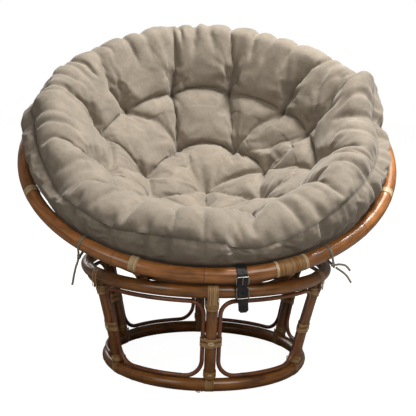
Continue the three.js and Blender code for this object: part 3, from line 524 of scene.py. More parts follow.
def nickel_plate(tree, rgb):
    """Bright nickel plate on bent steel wire: mirror-like, with faint polishing marks."""
    place = add_node(tree, "ShaderNodeTexCoord").outputs["Object"]
    marks = add_node(tree, "ShaderNodeTexNoise", {"Vector": place, "Scale": 900.0, "Detail": 2.0})
    rough = add_node(tree, "ShaderNodeMapRange", {0: marks, 1: 0.3, 2: 0.7, 3: 0.14, 4: 0.3})
    return {"Base Color": (*rgb, 1), "Metallic": 1.0, "Roughness": rough}


def clear_plastic(tree):
    """Moulded clear polyurethane: glass-like but softer, a little yellowed."""
    place = add_node(tree, "ShaderNodeTexCoord").outputs["Object"]
    ripple = add_node(tree, "ShaderNodeTexNoise", {"Vector": place, "Scale": 140.0})
    bump = add_node(tree, "ShaderNodeBump", {"Strength": 0.08, "Distance": 0.001, "Height": ripple})
    return {"Base Color": (0.86, 0.87, 0.86, 1), "Normal": bump, "Roughness": 0.12, "IOR": 1.5,
            "Transmission Weight": 0.8}


def finish(name):
    """The finish of that name, made when it is first asked for."""
    if name not in bpy.data.materials:
        given = bpy.context.scene.papasan_finishes
        maker, *values = {
            "Light lacquered cane": (lacquered_cane, given.rim, 1.3, 0.45),
            "Dark lacquered cane": (lacquered_cane, given.base, 1.5, 0.5),
            "Dark cane rod": (lacquered_cane, given.rods, 1.2, 0.4),
            "Rattan peel": (rattan_peel, given.peel, given.peel_pale),
            "Taupe microsuede": (microsuede, given.suede),
            "Cotton tape": (woven_tape, given.tape),
            "Black leather": (dyed_leather, given.leather),
            "Nickel plate": (nickel_plate, given.nickel),
            "Clear plastic": (clear_plastic,),
        }[name]
        tree = new_material(name).node_tree
        set_inputs(tree, tree.nodes["Principled BSDF"], maker(tree, *values))
    return bpy.data.materials[name]


# ---------------------------------------------------------------- poles

HOOP_STEP = 0.004  # between the points of a hoop's line
RIM_JOINTS = (297.5, 0.5, 52, 69.5, 335, 104, 131, 163, 198, 231, 262)  # turns of the rim's nodes

def ring_line(lines, radius, height, place, rings, start=0.0):
    """A hoop's line, which starts at a turn where something hides the start."""
    count = int(2 * math.pi * radius / HOOP_STEP)
    turns = start + np.arange(count) * 360 / count
    points = place(round_point(turns, radius, height))
    out = points - place(np.array([0.0, 0.0, height]))
    places = [math.radians((turn - start) % 360) * radius for turn in rings]
    lines.add(points, unit(out), closed=True, rings=places)


def some_rings(random, length, spacing):
    places = np.arange(random.uniform(0.3, 1) * spacing, length, spacing)
    return places + random.uniform(-0.3, 0.3, len(places)) * spacing


class PAPASAN_OT_poles(Operator):
    """Makes the cane poles: base hoops, posts and bent rods, and the bowl's rim, hoops and ribs."""
    bl_idname = "papasan.poles"
    bl_label = "Cane poles"

    def execute(self, context):
        sizes = context.scene.papasan_sizes
        random = np.random.default_rng(sizes.seed)
        dark, light = finish("Dark lacquered cane"), finish("Light lacquered cane")
        thin = finish("Dark cane rod")
        rise = sizes.joint_rise

        lines = Lines(1)
        for radius, height in (FLOOR_HOOP, TOP_HOOP):
            ring_line(lines, radius, height, in_base, random.uniform(0, 360, 7))
        fixed(swept("base_hoops", lines, dark, sizes.base_pole, joint_rise=rise, waviness=0.0005,
                    seed=1.3),
              "base", "floor_hoop", "top_hoop", slot="dark_rattan")

        lines = Lines(2)
        for turn in POST_TURNS:
            heights = np.linspace(FLOOR_HOOP[1] + 0.006, TOP_HOOP[1] - 0.006, 70)
            points = in_base(round_point(turn, wall_radius(heights), heights))
            lines.add(points, unit(points[0] - [PIVOT[0], PIVOT[1], points[0][2]]),
                      rings=some_rings(random, 0.26, 0.2))
        fixed(swept("posts", lines, dark, sizes.post_pole, joint_rise=rise, waviness=0.0004, seed=2.1),
              "base", *numbered("post", 6), slot="dark_rattan")

        lines = Lines(3)
        for turn in POST_TURNS:
            points = rod_line(turn + 30, sizes)
            out = unit(points * (1, 1, 0) - (PIVOT[0], PIVOT[1], 0))
            lines.add(points, out, closed=True, rings=some_rings(random, 1.1, 0.3))
        fixed(swept("bent_rods", lines, thin, sizes.rod_pole, sides=14, joint_rise=rise * 0.5,
                    waviness=0.0004, seed=3.7),
              "base", *numbered("infill_rod", 6), slot="dark_rattan")

        lines = Lines(4)
        ring_line(lines, *RIM, in_bowl, RIM_JOINTS, start=SPLICE_TURN)
        fixed(swept("rim_pole", lines, light, sizes.rim_pole, sides=28, joint_rise=rise * 1.3,
                    waviness=0.0007, seed=4.4),
              "bowl", "rim_hoop", slot="rattan")

        lines = Lines(5)
        for turn in (MIDDLE_HOOP_TURN, BOTTOM_HOOP_TURN):
            angle = math.radians(turn)
            ring_line(lines, LOWER_BALL * math.sin(angle), -LOWER_BALL * math.cos(angle), in_bowl,
                      random.uniform(0, 360, 6))
        fixed(swept("lower_hoops", lines, dark, sizes.lower_pole, sides=16, joint_rise=rise,
                    waviness=0.0003, seed=5.2),
              "bowl", "middle_hoop", "bottom_hoop", slot="dark_rattan")

        lines = Lines(6)
        for turn in RIB_TURNS:
            rises = np.linspace(RIM_RISE - 1.2, RIB_END_TURN, 150)
            points = in_bowl(rib_point(turn, rises))
            lines.add(points, unit(points - PIVOT), rings=some_rings(random, 0.6, 0.22), round_ends=0.004)
        fixed(swept("ribs", lines, light, sizes.rib_pole, sides=16, joint_rise=rise, waviness=0.0003,
                    seed=6.6),
              "bowl", *numbered("rib", 8), slot="rattan")
        return {"FINISHED"}


def rod_line(turn, sizes):
    """A bent rod: down beside one post, along the floor hoop, up beside the next and back."""
    bottom = FLOOR_HOOP[1] + sizes.base_pole / 2 + SOFT_GAP + sizes.rod_pole / 2
    top = TOP_HOOP[1] - sizes.base_pole / 2 - 0.004 - sizes.rod_pole / 2
    low, high = 0.046, 0.038  # corner radii
    places = []

    def put(side, inset, height):
        radius = wall_radius(height)
        reach = math.radians(30) * radius - (sizes.post_pole + sizes.rod_pole) / 2 - SOFT_GAP - inset
        places.append((turn + math.degrees(side * reach / radius), radius, height))

    def corner(side, size, middle, start):
        for i in range(9):
            angle = math.radians(start + 90 * i / 8)
            put(side, size * (1 - abs(math.cos(angle))), middle + size * math.sin(angle))

    def run(inset, height, direction):
        for share in np.linspace(1, -1, 22)[1:-1]:
            put(direction * share, inset, height)

    corner(1, low, bottom + low, -90)
    for height in np.linspace(bottom + low, top - high, 14)[1:-1]:
        put(1, 0, height)
    corner(1, high, top - high, 0)
    run(high, top, 1)
    corner(-1, high, top - high, 90)
    for height in np.linspace(top - high, bottom + low, 14)[1:-1]:
        put(-1, 0, height)
    corner(-1, low, bottom + low, 180)
    run(low, bottom, -1)
    return in_base([round_point(*place) for place in places])


# ---------------------------------------------------------------- wraps of peel

STRAND_PITCH = 1.06  # from strand to strand, in strand widths

def saddle(lines, frame_at, hoop, post, shift, depth, tint=0.0, slant=0.0, lift=0.0):
    """A strand laid over a hoop where a pole meets it, with both ends down the pole's sides.
    frame_at gives a place from along the hoop, across the joint and down the pole."""
    radius = hoop + lift
    side = math.sqrt(max((post + lift) ** 2 - shift ** 2, 0.004 ** 2)) + 0.0002
    over = [(radius * math.cos(a), -radius * math.sin(a)) for a in np.radians(np.linspace(0, 180, 19))]
    flat = [(side, depth), (side, depth * 0.72), *over, (-side, depth * 0.72), (-side, depth)]
    share = np.linspace(-1, 1, len(flat))
    places = [(shift + slant * s, x, y) for s, (x, y) in zip(share, flat)]
    middle = [(shift + slant * s, 0.0, max(0.0, y)) for s, (x, y) in zip(share, flat)]
    points = smooth_path(frame_at(places), 0.0025)
    inner = smooth_path(frame_at(middle), 0.0025)
    keep = np.linspace(0, len(inner) - 1, len(points)).astype(int)
    lines.add(points, unit(points - inner[keep]), tint=tint)


def loop(lines, frame_at, reach, height, tint=0.0, tilt=0.0, turn=0.0, lift=0.0, skip=None):
    """A strand round a pole, level or tilted, which may leave out the turns that skip gives."""
    turns = np.arange(0, 360, 8.0)
    if skip:
        turns = skip[0] + skip[1] + np.linspace(0, 360 - 2 * skip[1], 40)
    angle = np.radians(turns)
    reach = reach + lift
    rise = height + tilt * np.cos(angle - math.radians(turn))
    places = np.stack([reach * np.cos(angle), reach * np.sin(angle), rise], -1)
    points = frame_at(places)
    lines.add(points, unit(points - frame_at(places * (0, 0, 1))), closed=not skip, tint=tint)


def base_direction(turn):
    return in_base(round_point(turn, 1, 0)) - in_base(np.zeros(3))


def post_frame(turn, centre, down):
    """Along the hoop, outward and down or up the post, from a place on the post's line."""
    low, origin, high = (in_base(round_point(turn, wall_radius(height), height))
                         for height in (centre - 0.01, centre, centre + 0.01))
    along, up = base_direction(turn + 90), unit(high - low)
    across = unit(np.cross(along, up))
    if across @ base_direction(turn) < 0:
        across = -across
    return placer(origin, along, across, -up if down else up)


def hoop_frame(turn, radius, height, down):
    """Along the hoop, outward and down or up, from the middle of the hoop's pole."""
    return placer(in_base(round_point(turn, radius, height)), base_direction(turn + 90),
                  base_direction(turn), (0, 0, -1.0 if down else 1.0))


def rim_frame(turn, start=0.0):
    """Across, up and along the rim, turned round the pole by start."""
    out, up = BOWL @ round_point(turn, 1, 0), BOWL @ np.array([0, 0, 1.0])
    angle = math.radians(start)
    return placer(in_bowl(round_point(turn, *RIM)), math.cos(angle) * out + math.sin(angle) * up,
                  math.cos(angle) * up - math.sin(angle) * out, BOWL @ round_point(turn + 90, 1, 0))


class PAPASAN_OT_wraps(Operator):
    """Makes the wraps of rattan peel that bind the joints of the base and the bowl."""
    bl_idname = "papasan.wraps"
    bl_label = "Wraps of peel"

    def execute(self, context):
        sizes = context.scene.papasan_sizes
        peel = finish("Rattan peel")
        pitch, thick = sizes.strand_width * STRAND_PITCH, sizes.strand_thickness
        hoop = sizes.base_pole / 2 + GAP + thick / 2
        post = sizes.post_pole / 2 + GAP + thick / 2
        random = np.random.default_rng(sizes.seed + 1)
        strand = {"width": sizes.strand_width, "thickness": thick, "sides": 8, "waviness": 0.0003}

        lines = Lines(11)
        for i, turn in enumerate(POST_TURNS):
            over = hoop_frame(turn, *TOP_HOOP, True)
            # Pulled into the hoop's cane a little, so that the bowl's ribs slide over them.
            tight = hoop - thick * 0.65
            for k in range(6):
                saddle(lines, over, tight, post, (k - 2.5) * pitch, 0.032, tint=random.uniform(0, 0.5))
            if i:  # the front post's wrap has no slanted strands
                for slant in (-0.012, 0.012):
                    saddle(lines, over, tight, post, 0.0, 0.031, tint=random.uniform(0.4, 0.9),
                           slant=slant, lift=thick * 0.3)
            below = post_frame(turn, 0.250, True)
            for k in range(4):
                loop(lines, below, post, (k - 1.2) * pitch, tint=random.uniform(0, 0.6), lift=thick)
            for tint, tilt, lift in ((0.3, 0.005, thick * 1.6), (0.45, -0.005, thick * 2)):
                loop(lines, below, post, -0.0085, tint=tint, tilt=tilt, turn=90 * (i % 2), lift=lift)
        fixed(swept("top_strands", lines, peel, **strand), "base", *numbered("top_wrap", 6), slot="peel")

        lines = Lines(12)
        for turn in POST_TURNS:
            under = hoop_frame(turn, *FLOOR_HOOP, False)
            for k in range(5):
                saddle(lines, under, hoop - thick * 0.4, post, (k - 2) * pitch, 0.034,
                       tint=random.uniform(0, 0.4))
            above = post_frame(turn, 0.0545, False)
            for k in range(4):
                loop(lines, above, post, (k - 1.5) * pitch, tint=random.uniform(0, 0.4), lift=thick)
            knot(lines, above, post + 2 * thick, 0.0, 0.006, 0.003)
        fixed(swept("floor_strands", lines, peel, **strand), "base", *numbered("floor_wrap", 6),
              slot="peel")

        lines = Lines(13)
        for turn in POST_TURNS:
            waist = post_frame(turn, WAIST_HEIGHT, False)
            for height, tint in ((0.0112, 0.35), (0.0066, 0.2), (0.0, 0.1), (-0.0045, 0.5),
                                 (-0.0095, 0.3)):
                bound(lines, waist, sizes, height, tint)
            for bend in (-1, 1):
                knot(lines, waist, sizes.post_pole / 2 + 2.4 * thick, 0.001, 0.0095, bend * 0.0032)
        fixed(swept("waist_strands", lines, peel, **strand), "base", *numbered("waist_wrap", 6),
              slot="peel")

        lines = Lines(14)
        self.rim_splice(lines, sizes, random)
        fixed(swept("splice_strands", lines, peel, 0.0039, thick, sides=8, waviness=0.0003), "bowl",
              "rim_splice_wrap", slot="peel")

        lines = Lines(15)
        for i, turn in enumerate(RIB_TURNS):
            self.rib_binding(lines, sizes, random, turn, saddles=i != 0)
        fixed(swept("rib_strands", lines, peel, **strand), "bowl", slot="peel")
        return {"FINISHED"}

    def rim_splice(self, lines, sizes, random):
        """The turns of peel round the rim's joint, which pass round the rib that meets it there."""
        reach = sizes.rim_pole / 2 + GAP + sizes.strand_thickness / 2
        strands = 22
        for k in range(strands):
            shift = (k - (strands - 1) / 2) * SPLICE_LENGTH / strands
            turn = SPLICE_TURN + math.degrees(shift / RIM[0])
            off = math.radians(RIB_TURNS[0] - turn) * RIM[0]
            half = math.sqrt(max(0.0, 0.0128 ** 2 - off ** 2))
            skip = (RIM_RISE + 180, math.degrees(math.asin(half / reach))) if half > 0.001 else None
            tint = 1.0 if k in (0, 1, strands - 2, strands - 1) else random.uniform(0, 0.3)
            lift = 0.0003 if k in (0, strands - 1) else 0.0
            loop(lines, rim_frame(turn), reach, 0.0, tint=tint, skip=skip, lift=lift)
        knot(lines, rim_frame(SPLICE_TURN - 2.6, 62), reach + 0.0006, 0.0, 0.005, 0.002)

    def rib_binding(self, lines, sizes, random, turn, saddles):
        """Strands over the rim where a rib meets it, and turns round the rib below them."""
        thick = sizes.strand_thickness
        origin = in_bowl(rib_point(turn, RIM_RISE))
        place = placer(origin, BOWL @ round_point(turn + 90, 1, 0), unit(origin - PIVOT),
                       unit(in_bowl(rib_point(turn, RIM_RISE - 1)) - origin))
        rim, rib = sizes.rim_pole / 2 + GAP + thick / 2, sizes.rib_pole / 2 + GAP + thick / 2
        if saddles:
            for k in range(5):
                saddle(lines, place, rim, rib, (k - 2) * sizes.strand_width * STRAND_PITCH, 0.034,
                       tint=random.uniform(0.5, 1))
        for k in range(3):
            loop(lines, place, rib, 0.0262 + k * 0.0046, tint=random.uniform(0.1, 0.6), lift=thick)


def knot(lines, frame_at, reach, height, half, bend):
    """A strand's tucked end: a short bowed length across the wraps, on the outer side."""
    share = np.linspace(-1, 1, 13)
    angle = math.radians(90) - share * half / reach
    rise = height + bend * (1 - share ** 2)
    places = np.stack([reach * np.cos(angle), reach * np.sin(angle), rise], -1)
    points = frame_at(places)
    lines.add(points, unit(points - frame_at(places * (0, 0, 1))), tint=1.0, round_ends=0.003)


def bound(lines, frame_at, sizes, height, tint):
    """A strand round a post and the two rods beside it."""
    side = (sizes.post_pole + sizes.rod_pole) / 2 + SOFT_GAP
    hug = math.asin((sizes.post_pole - sizes.rod_pole) / 2 / side)
    margin = SOFT_GAP + sizes.strand_thickness / 2
    flat = []
    for middle, radius, start, end in (
            (side, sizes.rod_pole / 2, -math.pi / 2 + hug, math.pi / 2 - hug),
            (0, sizes.post_pole / 2, math.pi / 2 - hug, math.pi / 2 + hug),
            (-side, sizes.rod_pole / 2, math.pi / 2 + hug, 1.5 * math.pi - hug),
            (0, sizes.post_pole / 2, 1.5 * math.pi - hug, 1.5 * math.pi + hug)):
        reach = radius + margin
        for angle in np.linspace(start, end, 8):
            flat.append((middle + reach * math.cos(angle), reach * math.sin(angle), height,
                         math.cos(angle), math.sin(angle), 0))
    flat = np.array(flat)
    points = frame_at(flat[:, :3])
    lines.add(points, unit(frame_at(flat[:, :3] + flat[:, 3:]) - points), closed=True, tint=tint)


# ---------------------------------------------------------------- cushion

# Tufts by turn round the bowl: a middle one (m), an inner ring (i) and an outer ring (o).
INNER_TUFTS = (0, 60, 107, 152, 210, 266, 303)
OUTER_TUFTS = (18, 48, 79, 110, 135, 169, 202, 233, 261, 292, 319, 347)
INNER_RING, OUTER_RING = 0.192, 0.338
# Creases from tuft to tuft, how far each bows to its left, and how deep it is.
CREASES = (
    ("o7", "o6", 0.12, 0.8), ("o6", "o5", 0.10, 0.7), ("o8", "o7", 0.10, 0.7), ("o9", "o8", 0.08, 0.7),
    ("i5", "i4", 0.12, 0.85), ("i6", "i5", 0.03, 0.85), ("i4", "i3", 0.10, 0.7), ("i5", "o7", 0.0, 0.85),
    ("i4", "o6", 0.0, 0.85), ("o8", "i5", 0.15, 0.6), ("i6", "o9", -0.05, 0.6), ("o10", "o9", -0.08, 0.6),
    ("o10", "i6", 0.08, 0.6), ("i6", "i7", 0.0, 0.6), ("m", "i7", 0.0, 0.7), ("m", "i3", 0.1, 0.7),
    ("m", "i2", 0.0, 0.7), ("m", "i1", 0.0, 0.75), ("i3", "i2", 0.0, 0.6), ("o5", "o4", 0.1, 0.7),
    ("i4", "o5", 0.05, 0.5), ("i4", "o4", -0.05, 0.4), ("i3", "o3", 0.05, 0.55), ("o4", "o3", 0.1, 0.6),
    ("i2", "o2", 0.0, 0.6), ("o3", "o2", 0.08, 0.6), ("o2", "o1", 0.08, 0.6), ("i1", "o1", 0.0, 0.5),
    ("i1", "o12", 0.0, 0.5), ("o1", "o12", 0.06, 0.6), ("o12", "o11", 0.06, 0.6), ("i7", "o11", 0.0, 0.6),
    ("o11", "o10", 0.08, 0.6), ("i1", "i2", 0.0, 0.35), ("i7", "i1", 0.0, 0.35), ("i7", "o10", 0.0, 0.4),
)
# The cover's cut, out from the seat: distance from the bowl's axis, height, how far the puffs and
# folds stand up there, and rows of mesh up to it. The front roll is pressed lower and wider.
CUT = (
    (0.300, -0.2735, 0.047, 0), (0.338, -0.2330, 0.046, 6), (0.394, -0.1560, 0.040, 12),
    (0.450, -0.0720, 0.026, 12), (0.474, -0.0735, 0.014, 3), (0.491, -0.0894, 0.002, 3),
    (0.516, -0.1100, 0.008, 4), (0.5260, -0.1374, 0.010, 4), (0.5215, -0.1680, 0.006, 4),
    (0.515, -0.1904, 0.0, 3), (0.503, -0.2154, 0.0, 3), (0.4855, -0.2592, 0.0, 4),
    (0.4499, -0.3012, 0.0, 4), (0.4203, -0.3284, 0.0, 3), (0.3165, -0.4293, 0.0, 10),
)
FRONT_CUT = (
    (0.300, -0.2755), (0.338, -0.2500), (0.388, -0.1930), (0.438, -0.1330), (0.482, -0.1210),
    (0.513, -0.1310), (0.5215, -0.1430), (0.5255, -0.1570), (0.5220, -0.1760),
)
SEAM, LOWER_SEAM, WAIST = 5, 9, 10
# Where the crumpled top seam runs: turn, distance from the bowl's axis and height above the rim.
SEAM_LINE = (
    (0, 0.512, 0.098), (6, 0.512, 0.090), (9, 0.508, 0.066), (16, 0.514, 0.068),
    (24, 0.512, 0.078), (30, 0.512, 0.090), (38, 0.509, 0.102), (44, 0.506, 0.112),
    (50, 0.502, 0.118), (57, 0.495, 0.116), (64, 0.487, 0.102), (72, 0.484, 0.088),
    (80, 0.483, 0.074), (91, 0.484, 0.070), (96, 0.484, 0.092), (101, 0.488, 0.116),
    (106, 0.500, 0.140), (110, 0.520, 0.158), (113, 0.500, 0.140), (120, 0.491, 0.126),
    (262, 0.491, 0.126), (268, 0.498, 0.130), (272, 0.506, 0.132), (277, 0.491, 0.122),
    (286, 0.490, 0.110), (300, 0.492, 0.086), (308, 0.497, 0.066), (314, 0.508, 0.080),
    (324, 0.512, 0.088), (331, 0.510, 0.072), (340, 0.512, 0.090), (348, 0.513, 0.100),
    (354, 0.513, 0.102),
)
# Deep folds across the side band: turn, half width in degrees, depth.
BAND_FOLDS = ((9.5, 1.7, 0.013), (36, 1.5, 0.008), (61, 1.8, 0.006), (318, 2.2, 0.010), (331, 2.0, 0.012),
              (343, 1.6, 0.009), (349, 1.5, 0.009), (97, 2.2, 0.010))
COLUMNS = 88  # a quarter of the mesh's columns
FRONT_TURNS = (34, 84)  # the front's cut holds up to the first turn, the other from the second
BOTTOM_BALL = 0.53337  # the bottom panel lies on a ball of this radius
FILL_STEPS, FILL_REACH = 20, 0.016  # of the cloth simulation: frames, and how far it may swell


def tuft_places():
    places = {"m": (0.0, 0.0)}
    for letter, turns, radius in (("i", INNER_TUFTS, INNER_RING), ("o", OUTER_TUFTS, OUTER_RING)):
        for i, turn in enumerate(turns):
            places[f"{letter}{i + 1}"] = tuple(round_point(turn, radius, 0)[:2])
    return places


def nearest(points, path):
    """Distance of points from a path, and the share of the path where they are nearest."""
    best, share = np.full(len(points), 9.0), np.zeros(len(points))
    for i in range(len(path) - 1):
        a, b = path[i], path[i + 1]
        t = np.clip((points - a) @ (b - a) / np.dot(b - a, b - a), 0, 1)
        d = np.linalg.norm(points - a - t[:, None] * (b - a), axis=1)
        closer = d < best
        best, share = np.where(closer, d, best), np.where(closer, (i + t) / (len(path) - 1), share)
    return best, share


def swelling(points, seed):
    """How full the cover is at places on its plan: 0 at a tuft, 1 on top of a puff."""
    random = np.random.default_rng(seed)
    tufts = {name: np.array(place) for name, place in tuft_places().items()}
    drawn = np.zeros(len(points))

    def draw(distance, width, depth):
        q = np.clip(distance / width, 0, 1)
        return np.clip(depth * (1 - np.sqrt(1 - (1 - q) ** 2)), 0, None) ** 5

    for start, end, bow, depth in CREASES:
        a, b = tufts[start], tufts[end]
        side = np.array([-(b - a)[1], (b - a)[0]]) * bow
        path = [a + (b - a) * t + side * 4 * t * (1 - t) for t in np.linspace(0, 1, 9)]
        distance, share = nearest(points, path)
        drawn += draw(distance, 0.092, depth * (1 - 0.22 * np.sin(math.pi * share)))
    for i, turn in enumerate(OUTER_TUFTS):
        lean, lean2 = random.uniform(-4, 4), random.uniform(-7, 7)
        path = [round_point(t, r, 0)[:2] for t, r in
                ((turn, OUTER_RING), (turn + lean, 0.395), (turn + lean2, 0.452), (turn + lean2, 0.56))]
        distance, share = nearest(points, path)
        drawn += draw(distance, 0.075, 0.95 - 0.5 * share)
        gap = (OUTER_TUFTS[(i + 1) % 12] - turn) % 360
        for part in (0.3, 0.52, 0.74):
            middle = turn + gap * (part + random.uniform(-0.08, 0.08))
            path = [round_point(middle + random.uniform(-3, 3), r, 0)[:2] for r in (0.40, 0.45, 0.56)]
            distance, share = nearest(points, path)
            drawn += draw(distance, 0.030, random.uniform(0.3, 0.8) * np.minimum(1, share * 2))
    for place in tufts.values():
        drawn += draw(np.linalg.norm(points - place, axis=1), 0.06, 1.0)
    return 1 - np.clip(drawn, 0, 1.25) ** 0.2


def value_noise(u, v, seed):
    """Smooth noise from -1 to 1 at places u, v."""
    table = np.random.default_rng(seed).uniform(-1, 1, (64, 64))
    i, j = np.floor(u).astype(int), np.floor(v).astype(int)
    a, b = u - i, v - j
    a, b = a * a * (3 - 2 * a), b * b * (3 - 2 * b)

    def pick(x, y):
        return table[x % 64, y % 64]
    return ((pick(i, j) * (1 - a) + pick(i + 1, j) * a) * (1 - b)
            + (pick(i, j + 1) * (1 - a) + pick(i + 1, j + 1) * a) * b)


def round_grid(n):
    """A square grid drawn as a disc of radius 1: its points, its faces and its edge in order."""
    a, b = np.meshgrid(np.linspace(-1, 1, n + 1), np.linspace(-1, 1, n + 1), indexing="ij")
    wide = np.abs(a) >= np.abs(b)
    with np.errstate(divide="ignore", invalid="ignore"):
        angle = np.where(wide, math.pi / 4 * b / a, math.pi / 2 - math.pi / 4 * a / b)
    radius = np.where(wide, a, b)
    angle = np.nan_to_num(angle)
    points = np.stack([radius * np.cos(angle), radius * np.sin(angle)], -1).reshape(-1, 2)
    number = np.arange((n + 1) ** 2).reshape(n + 1, n + 1)
    faces = np.stack([number[:-1, :-1], number[1:, :-1], number[1:, 1:], number[:-1, 1:]], -1)
    faces = faces.reshape(-1, 4)
    edge = np.concatenate([number[n, :-1], number[:0:-1, n], number[0, :0:-1], number[:-1, 0]])
    return points, faces, edge


def cut_rows():
    """The cut and the front's as rows: (row, distance and height and rise), and each mark's row."""
    normal = np.array([c[:3] for c in CUT])
    front = normal.copy()
    front[:len(FRONT_CUT), :2] = FRONT_CUT
    made, marks = [], [0]
    for i in range(1, len(CUT)):
        count = CUT[i][3]
        t = (np.arange(1, count + 1) / count)[:, None]
        parts = []
        for cut in (normal, front):
            a, b, c, d = (cut[min(max(k, 0), len(cut) - 1)] for k in (i - 2, i - 1, i, i + 1))
            if i in (SEAM + 1, LOWER_SEAM + 1):
                a = 2 * b - c
            if i in (SEAM, LOWER_SEAM):
                d = 2 * c - b
            parts.append(curve_between(a, b, c, d, t))
        made.append(np.stack(parts, 1))
        marks.append(marks[-1] + count)
    rows = np.concatenate([np.stack([normal[0], front[0]])[None], *made])
    return rows, marks


def smooth_step(value, low, high):
    t = np.clip((value - low) / (high - low), 0, 1)
    return t * t * (3 - 2 * t)


def front_share(turns):
    return 1 - smooth_step(np.abs(turn_between(turns, 0)), *FRONT_TURNS)


def outer_rings(sizes, rows, marks):
    """The cover outside the seat: its rings of points, how full they are, and how steeply the cut
    leaves the seat."""
    columns = 4 * COLUMNS
    azimuth = np.radians(-45 + np.arange(columns) * 360 / columns)
    turns = np.degrees(azimuth) + 90
    front = front_share(turns)
    body = rows[:, :1, :] * (1 - front)[None, :, None] + rows[:, 1:, :] * front[None, :, None]
    radius, height, rise = body[..., 0].copy(), body[..., 1].copy(), body[..., 2]
    # The seam's own line, which the roll above and the band below follow.
    row = np.arange(len(rows))
    share = np.where(row <= marks[SEAM], (row - marks[1]) / (marks[SEAM] - marks[1]),
                     (marks[LOWER_SEAM] - row) / (marks[LOWER_SEAM] - marks[SEAM]))
    share = np.clip(share, 0, 1)[:, None] ** 1.4
    line = np.array(SEAM_LINE)
    seam = [np.interp(turns % 360, line[:, 0], line[:, k], period=360) for k in (1, 2)]
    seam[1] = seam[1] + RIM[1] + value_noise(turns / 4.5, np.full(columns, 9.3), sizes.seed) * 0.0015
    radius += share * (seam[0] - radius[marks[SEAM]])
    height += share * (seam[1] - height[marks[SEAM]])
    band = np.clip(1 - np.abs(row - marks[SEAM] - 5) / 10, 0, 1)[:, None]
    for turn, width, depth in BAND_FOLDS:
        radius -= band * depth * np.exp(-(turn_between(turns, turn) / width) ** 2)
    # Square to the cut, as far as the puffs and folds stand.
    dr, dz = np.gradient(radius, axis=0), np.gradient(height, axis=0)
    length = np.hypot(dr, dz)
    plan = np.stack([radius * np.cos(azimuth), radius * np.sin(azimuth)], -1)
    full = swelling(plan.reshape(-1, 2), sizes.seed + 2).reshape(radius.shape)
    full[marks[WAIST]:] = 1.0
    drawn = full.copy()
    drawn[marks[SEAM]:] = 1.0
    lift = full * rise * sizes.puff_rise / CUT[0][2]
    lift[marks[SEAM]:] = ((full - 1) * rise)[marks[SEAM]:] * 1.4
    radius = radius - lift * dz / length
    height = height + lift * dr / length
    ring = np.stack([radius * np.cos(azimuth), radius * np.sin(azimuth), height], -1)
    slope = np.gradient(body[:, 0, 1])[0] / np.gradient(body[:, 0, 0])[0]
    return ring, drawn, slope


def seat_panel(sizes, grid, slope):
    """The cover over the seat, inside the first ring, and how full it is."""
    seat = grid * CUT[0][0]
    far = np.linalg.norm(seat, axis=1)
    turn = np.degrees(np.arctan2(seat[:, 1], seat[:, 0])) + 90
    weight = front_share(turn) * (far / CUT[0][0]) ** 2
    valley = np.interp(far, (0, 0.1, INNER_RING, 0.25, CUT[0][0]),
                       (-0.4005, -0.3895, -0.3555, -0.3195, CUT[0][1]))
    valley += weight * (FRONT_CUT[0][1] - CUT[0][1])
    fullness = swelling(seat, sizes.seed + 2)
    slope = slope * (far / CUT[0][0]) ** 1.5
    raised = fullness * sizes.puff_rise
    flat = 1 - raised * slope / np.hypot(1, slope) / np.maximum(far, 1e-6)
    return np.column_stack([seat * flat[:, None], valley + raised / np.hypot(1, slope)]), fullness


def cushion_mesh(sizes):
    """The cover before it is filled: points in the bowl's frame, faces, what is sewn fast, the number
    of points above the waist, the seam's points, and the painted shade of each point, darker deep in a
    crease and on the seam."""
    grid, grid_faces, edge = round_grid(COLUMNS)
    rows, marks = cut_rows()
    columns = 4 * COLUMNS
    ring, drawn, slope = outer_rings(sizes, rows, marks)
    seat, fullness = seat_panel(sizes, grid, slope)
    seat[edge] = ring[0]
    bottom = grid * CUT[-1][0]
    bottom = np.column_stack([bottom, -np.sqrt(BOTTOM_BALL ** 2 - (bottom ** 2).sum(1))])
    # Numbers: the seat, then rows down to the waist, then the rest.
    points = [seat, ring[1:].reshape(-1, 3)]
    first = len(seat)
    number = np.vstack([edge, first + np.arange((len(rows) - 1) * columns).reshape(-1, columns)])
    inner = np.setdiff1d(np.arange(len(bottom)), edge)
    renumber = np.zeros(len(bottom), int)
    renumber[inner] = first + (len(rows) - 1) * columns + np.arange(len(inner))
    renumber[edge] = number[-1]
    points.append(bottom[inner])
    beside = np.roll(number, -1, axis=1)
    wall = np.stack([number[:-1], number[1:], beside[1:], beside[:-1]], -1).reshape(-1, 4)
    faces = np.concatenate([grid_faces, wall, renumber[grid_faces][:, ::-1]])
    points = np.concatenate(points)
    held = np.zeros(len(points))
    held[number[marks[SEAM]]] = 1.0
    held[number[marks[LOWER_SEAM]:].ravel()] = 1.0
    held[len(seat) + (len(rows) - 1) * columns:] = 1.0
    for place in tuft_places().values():
        distance = np.linalg.norm(points[:, :2] - place, axis=1)
        held = np.where((distance < 0.010) & (points[:, 2] > -0.41) & (held == 0), 1.0, held)
    upper = first + marks[WAIST] * columns
    # Painted shade in the creases: the less full the cover is at a point, the darker its colour.
    hollow = np.concatenate([fullness, drawn[1:].ravel(), np.ones(len(inner))])
    hollow = np.clip(1 - hollow / 0.5, 0, 1) ** 1.2
    hollow[number[marks[SEAM]]] = 0.65  # painted shadow: a dark line along the sewn edge
    return points, faces, held, upper, number[marks[SEAM]], hollow


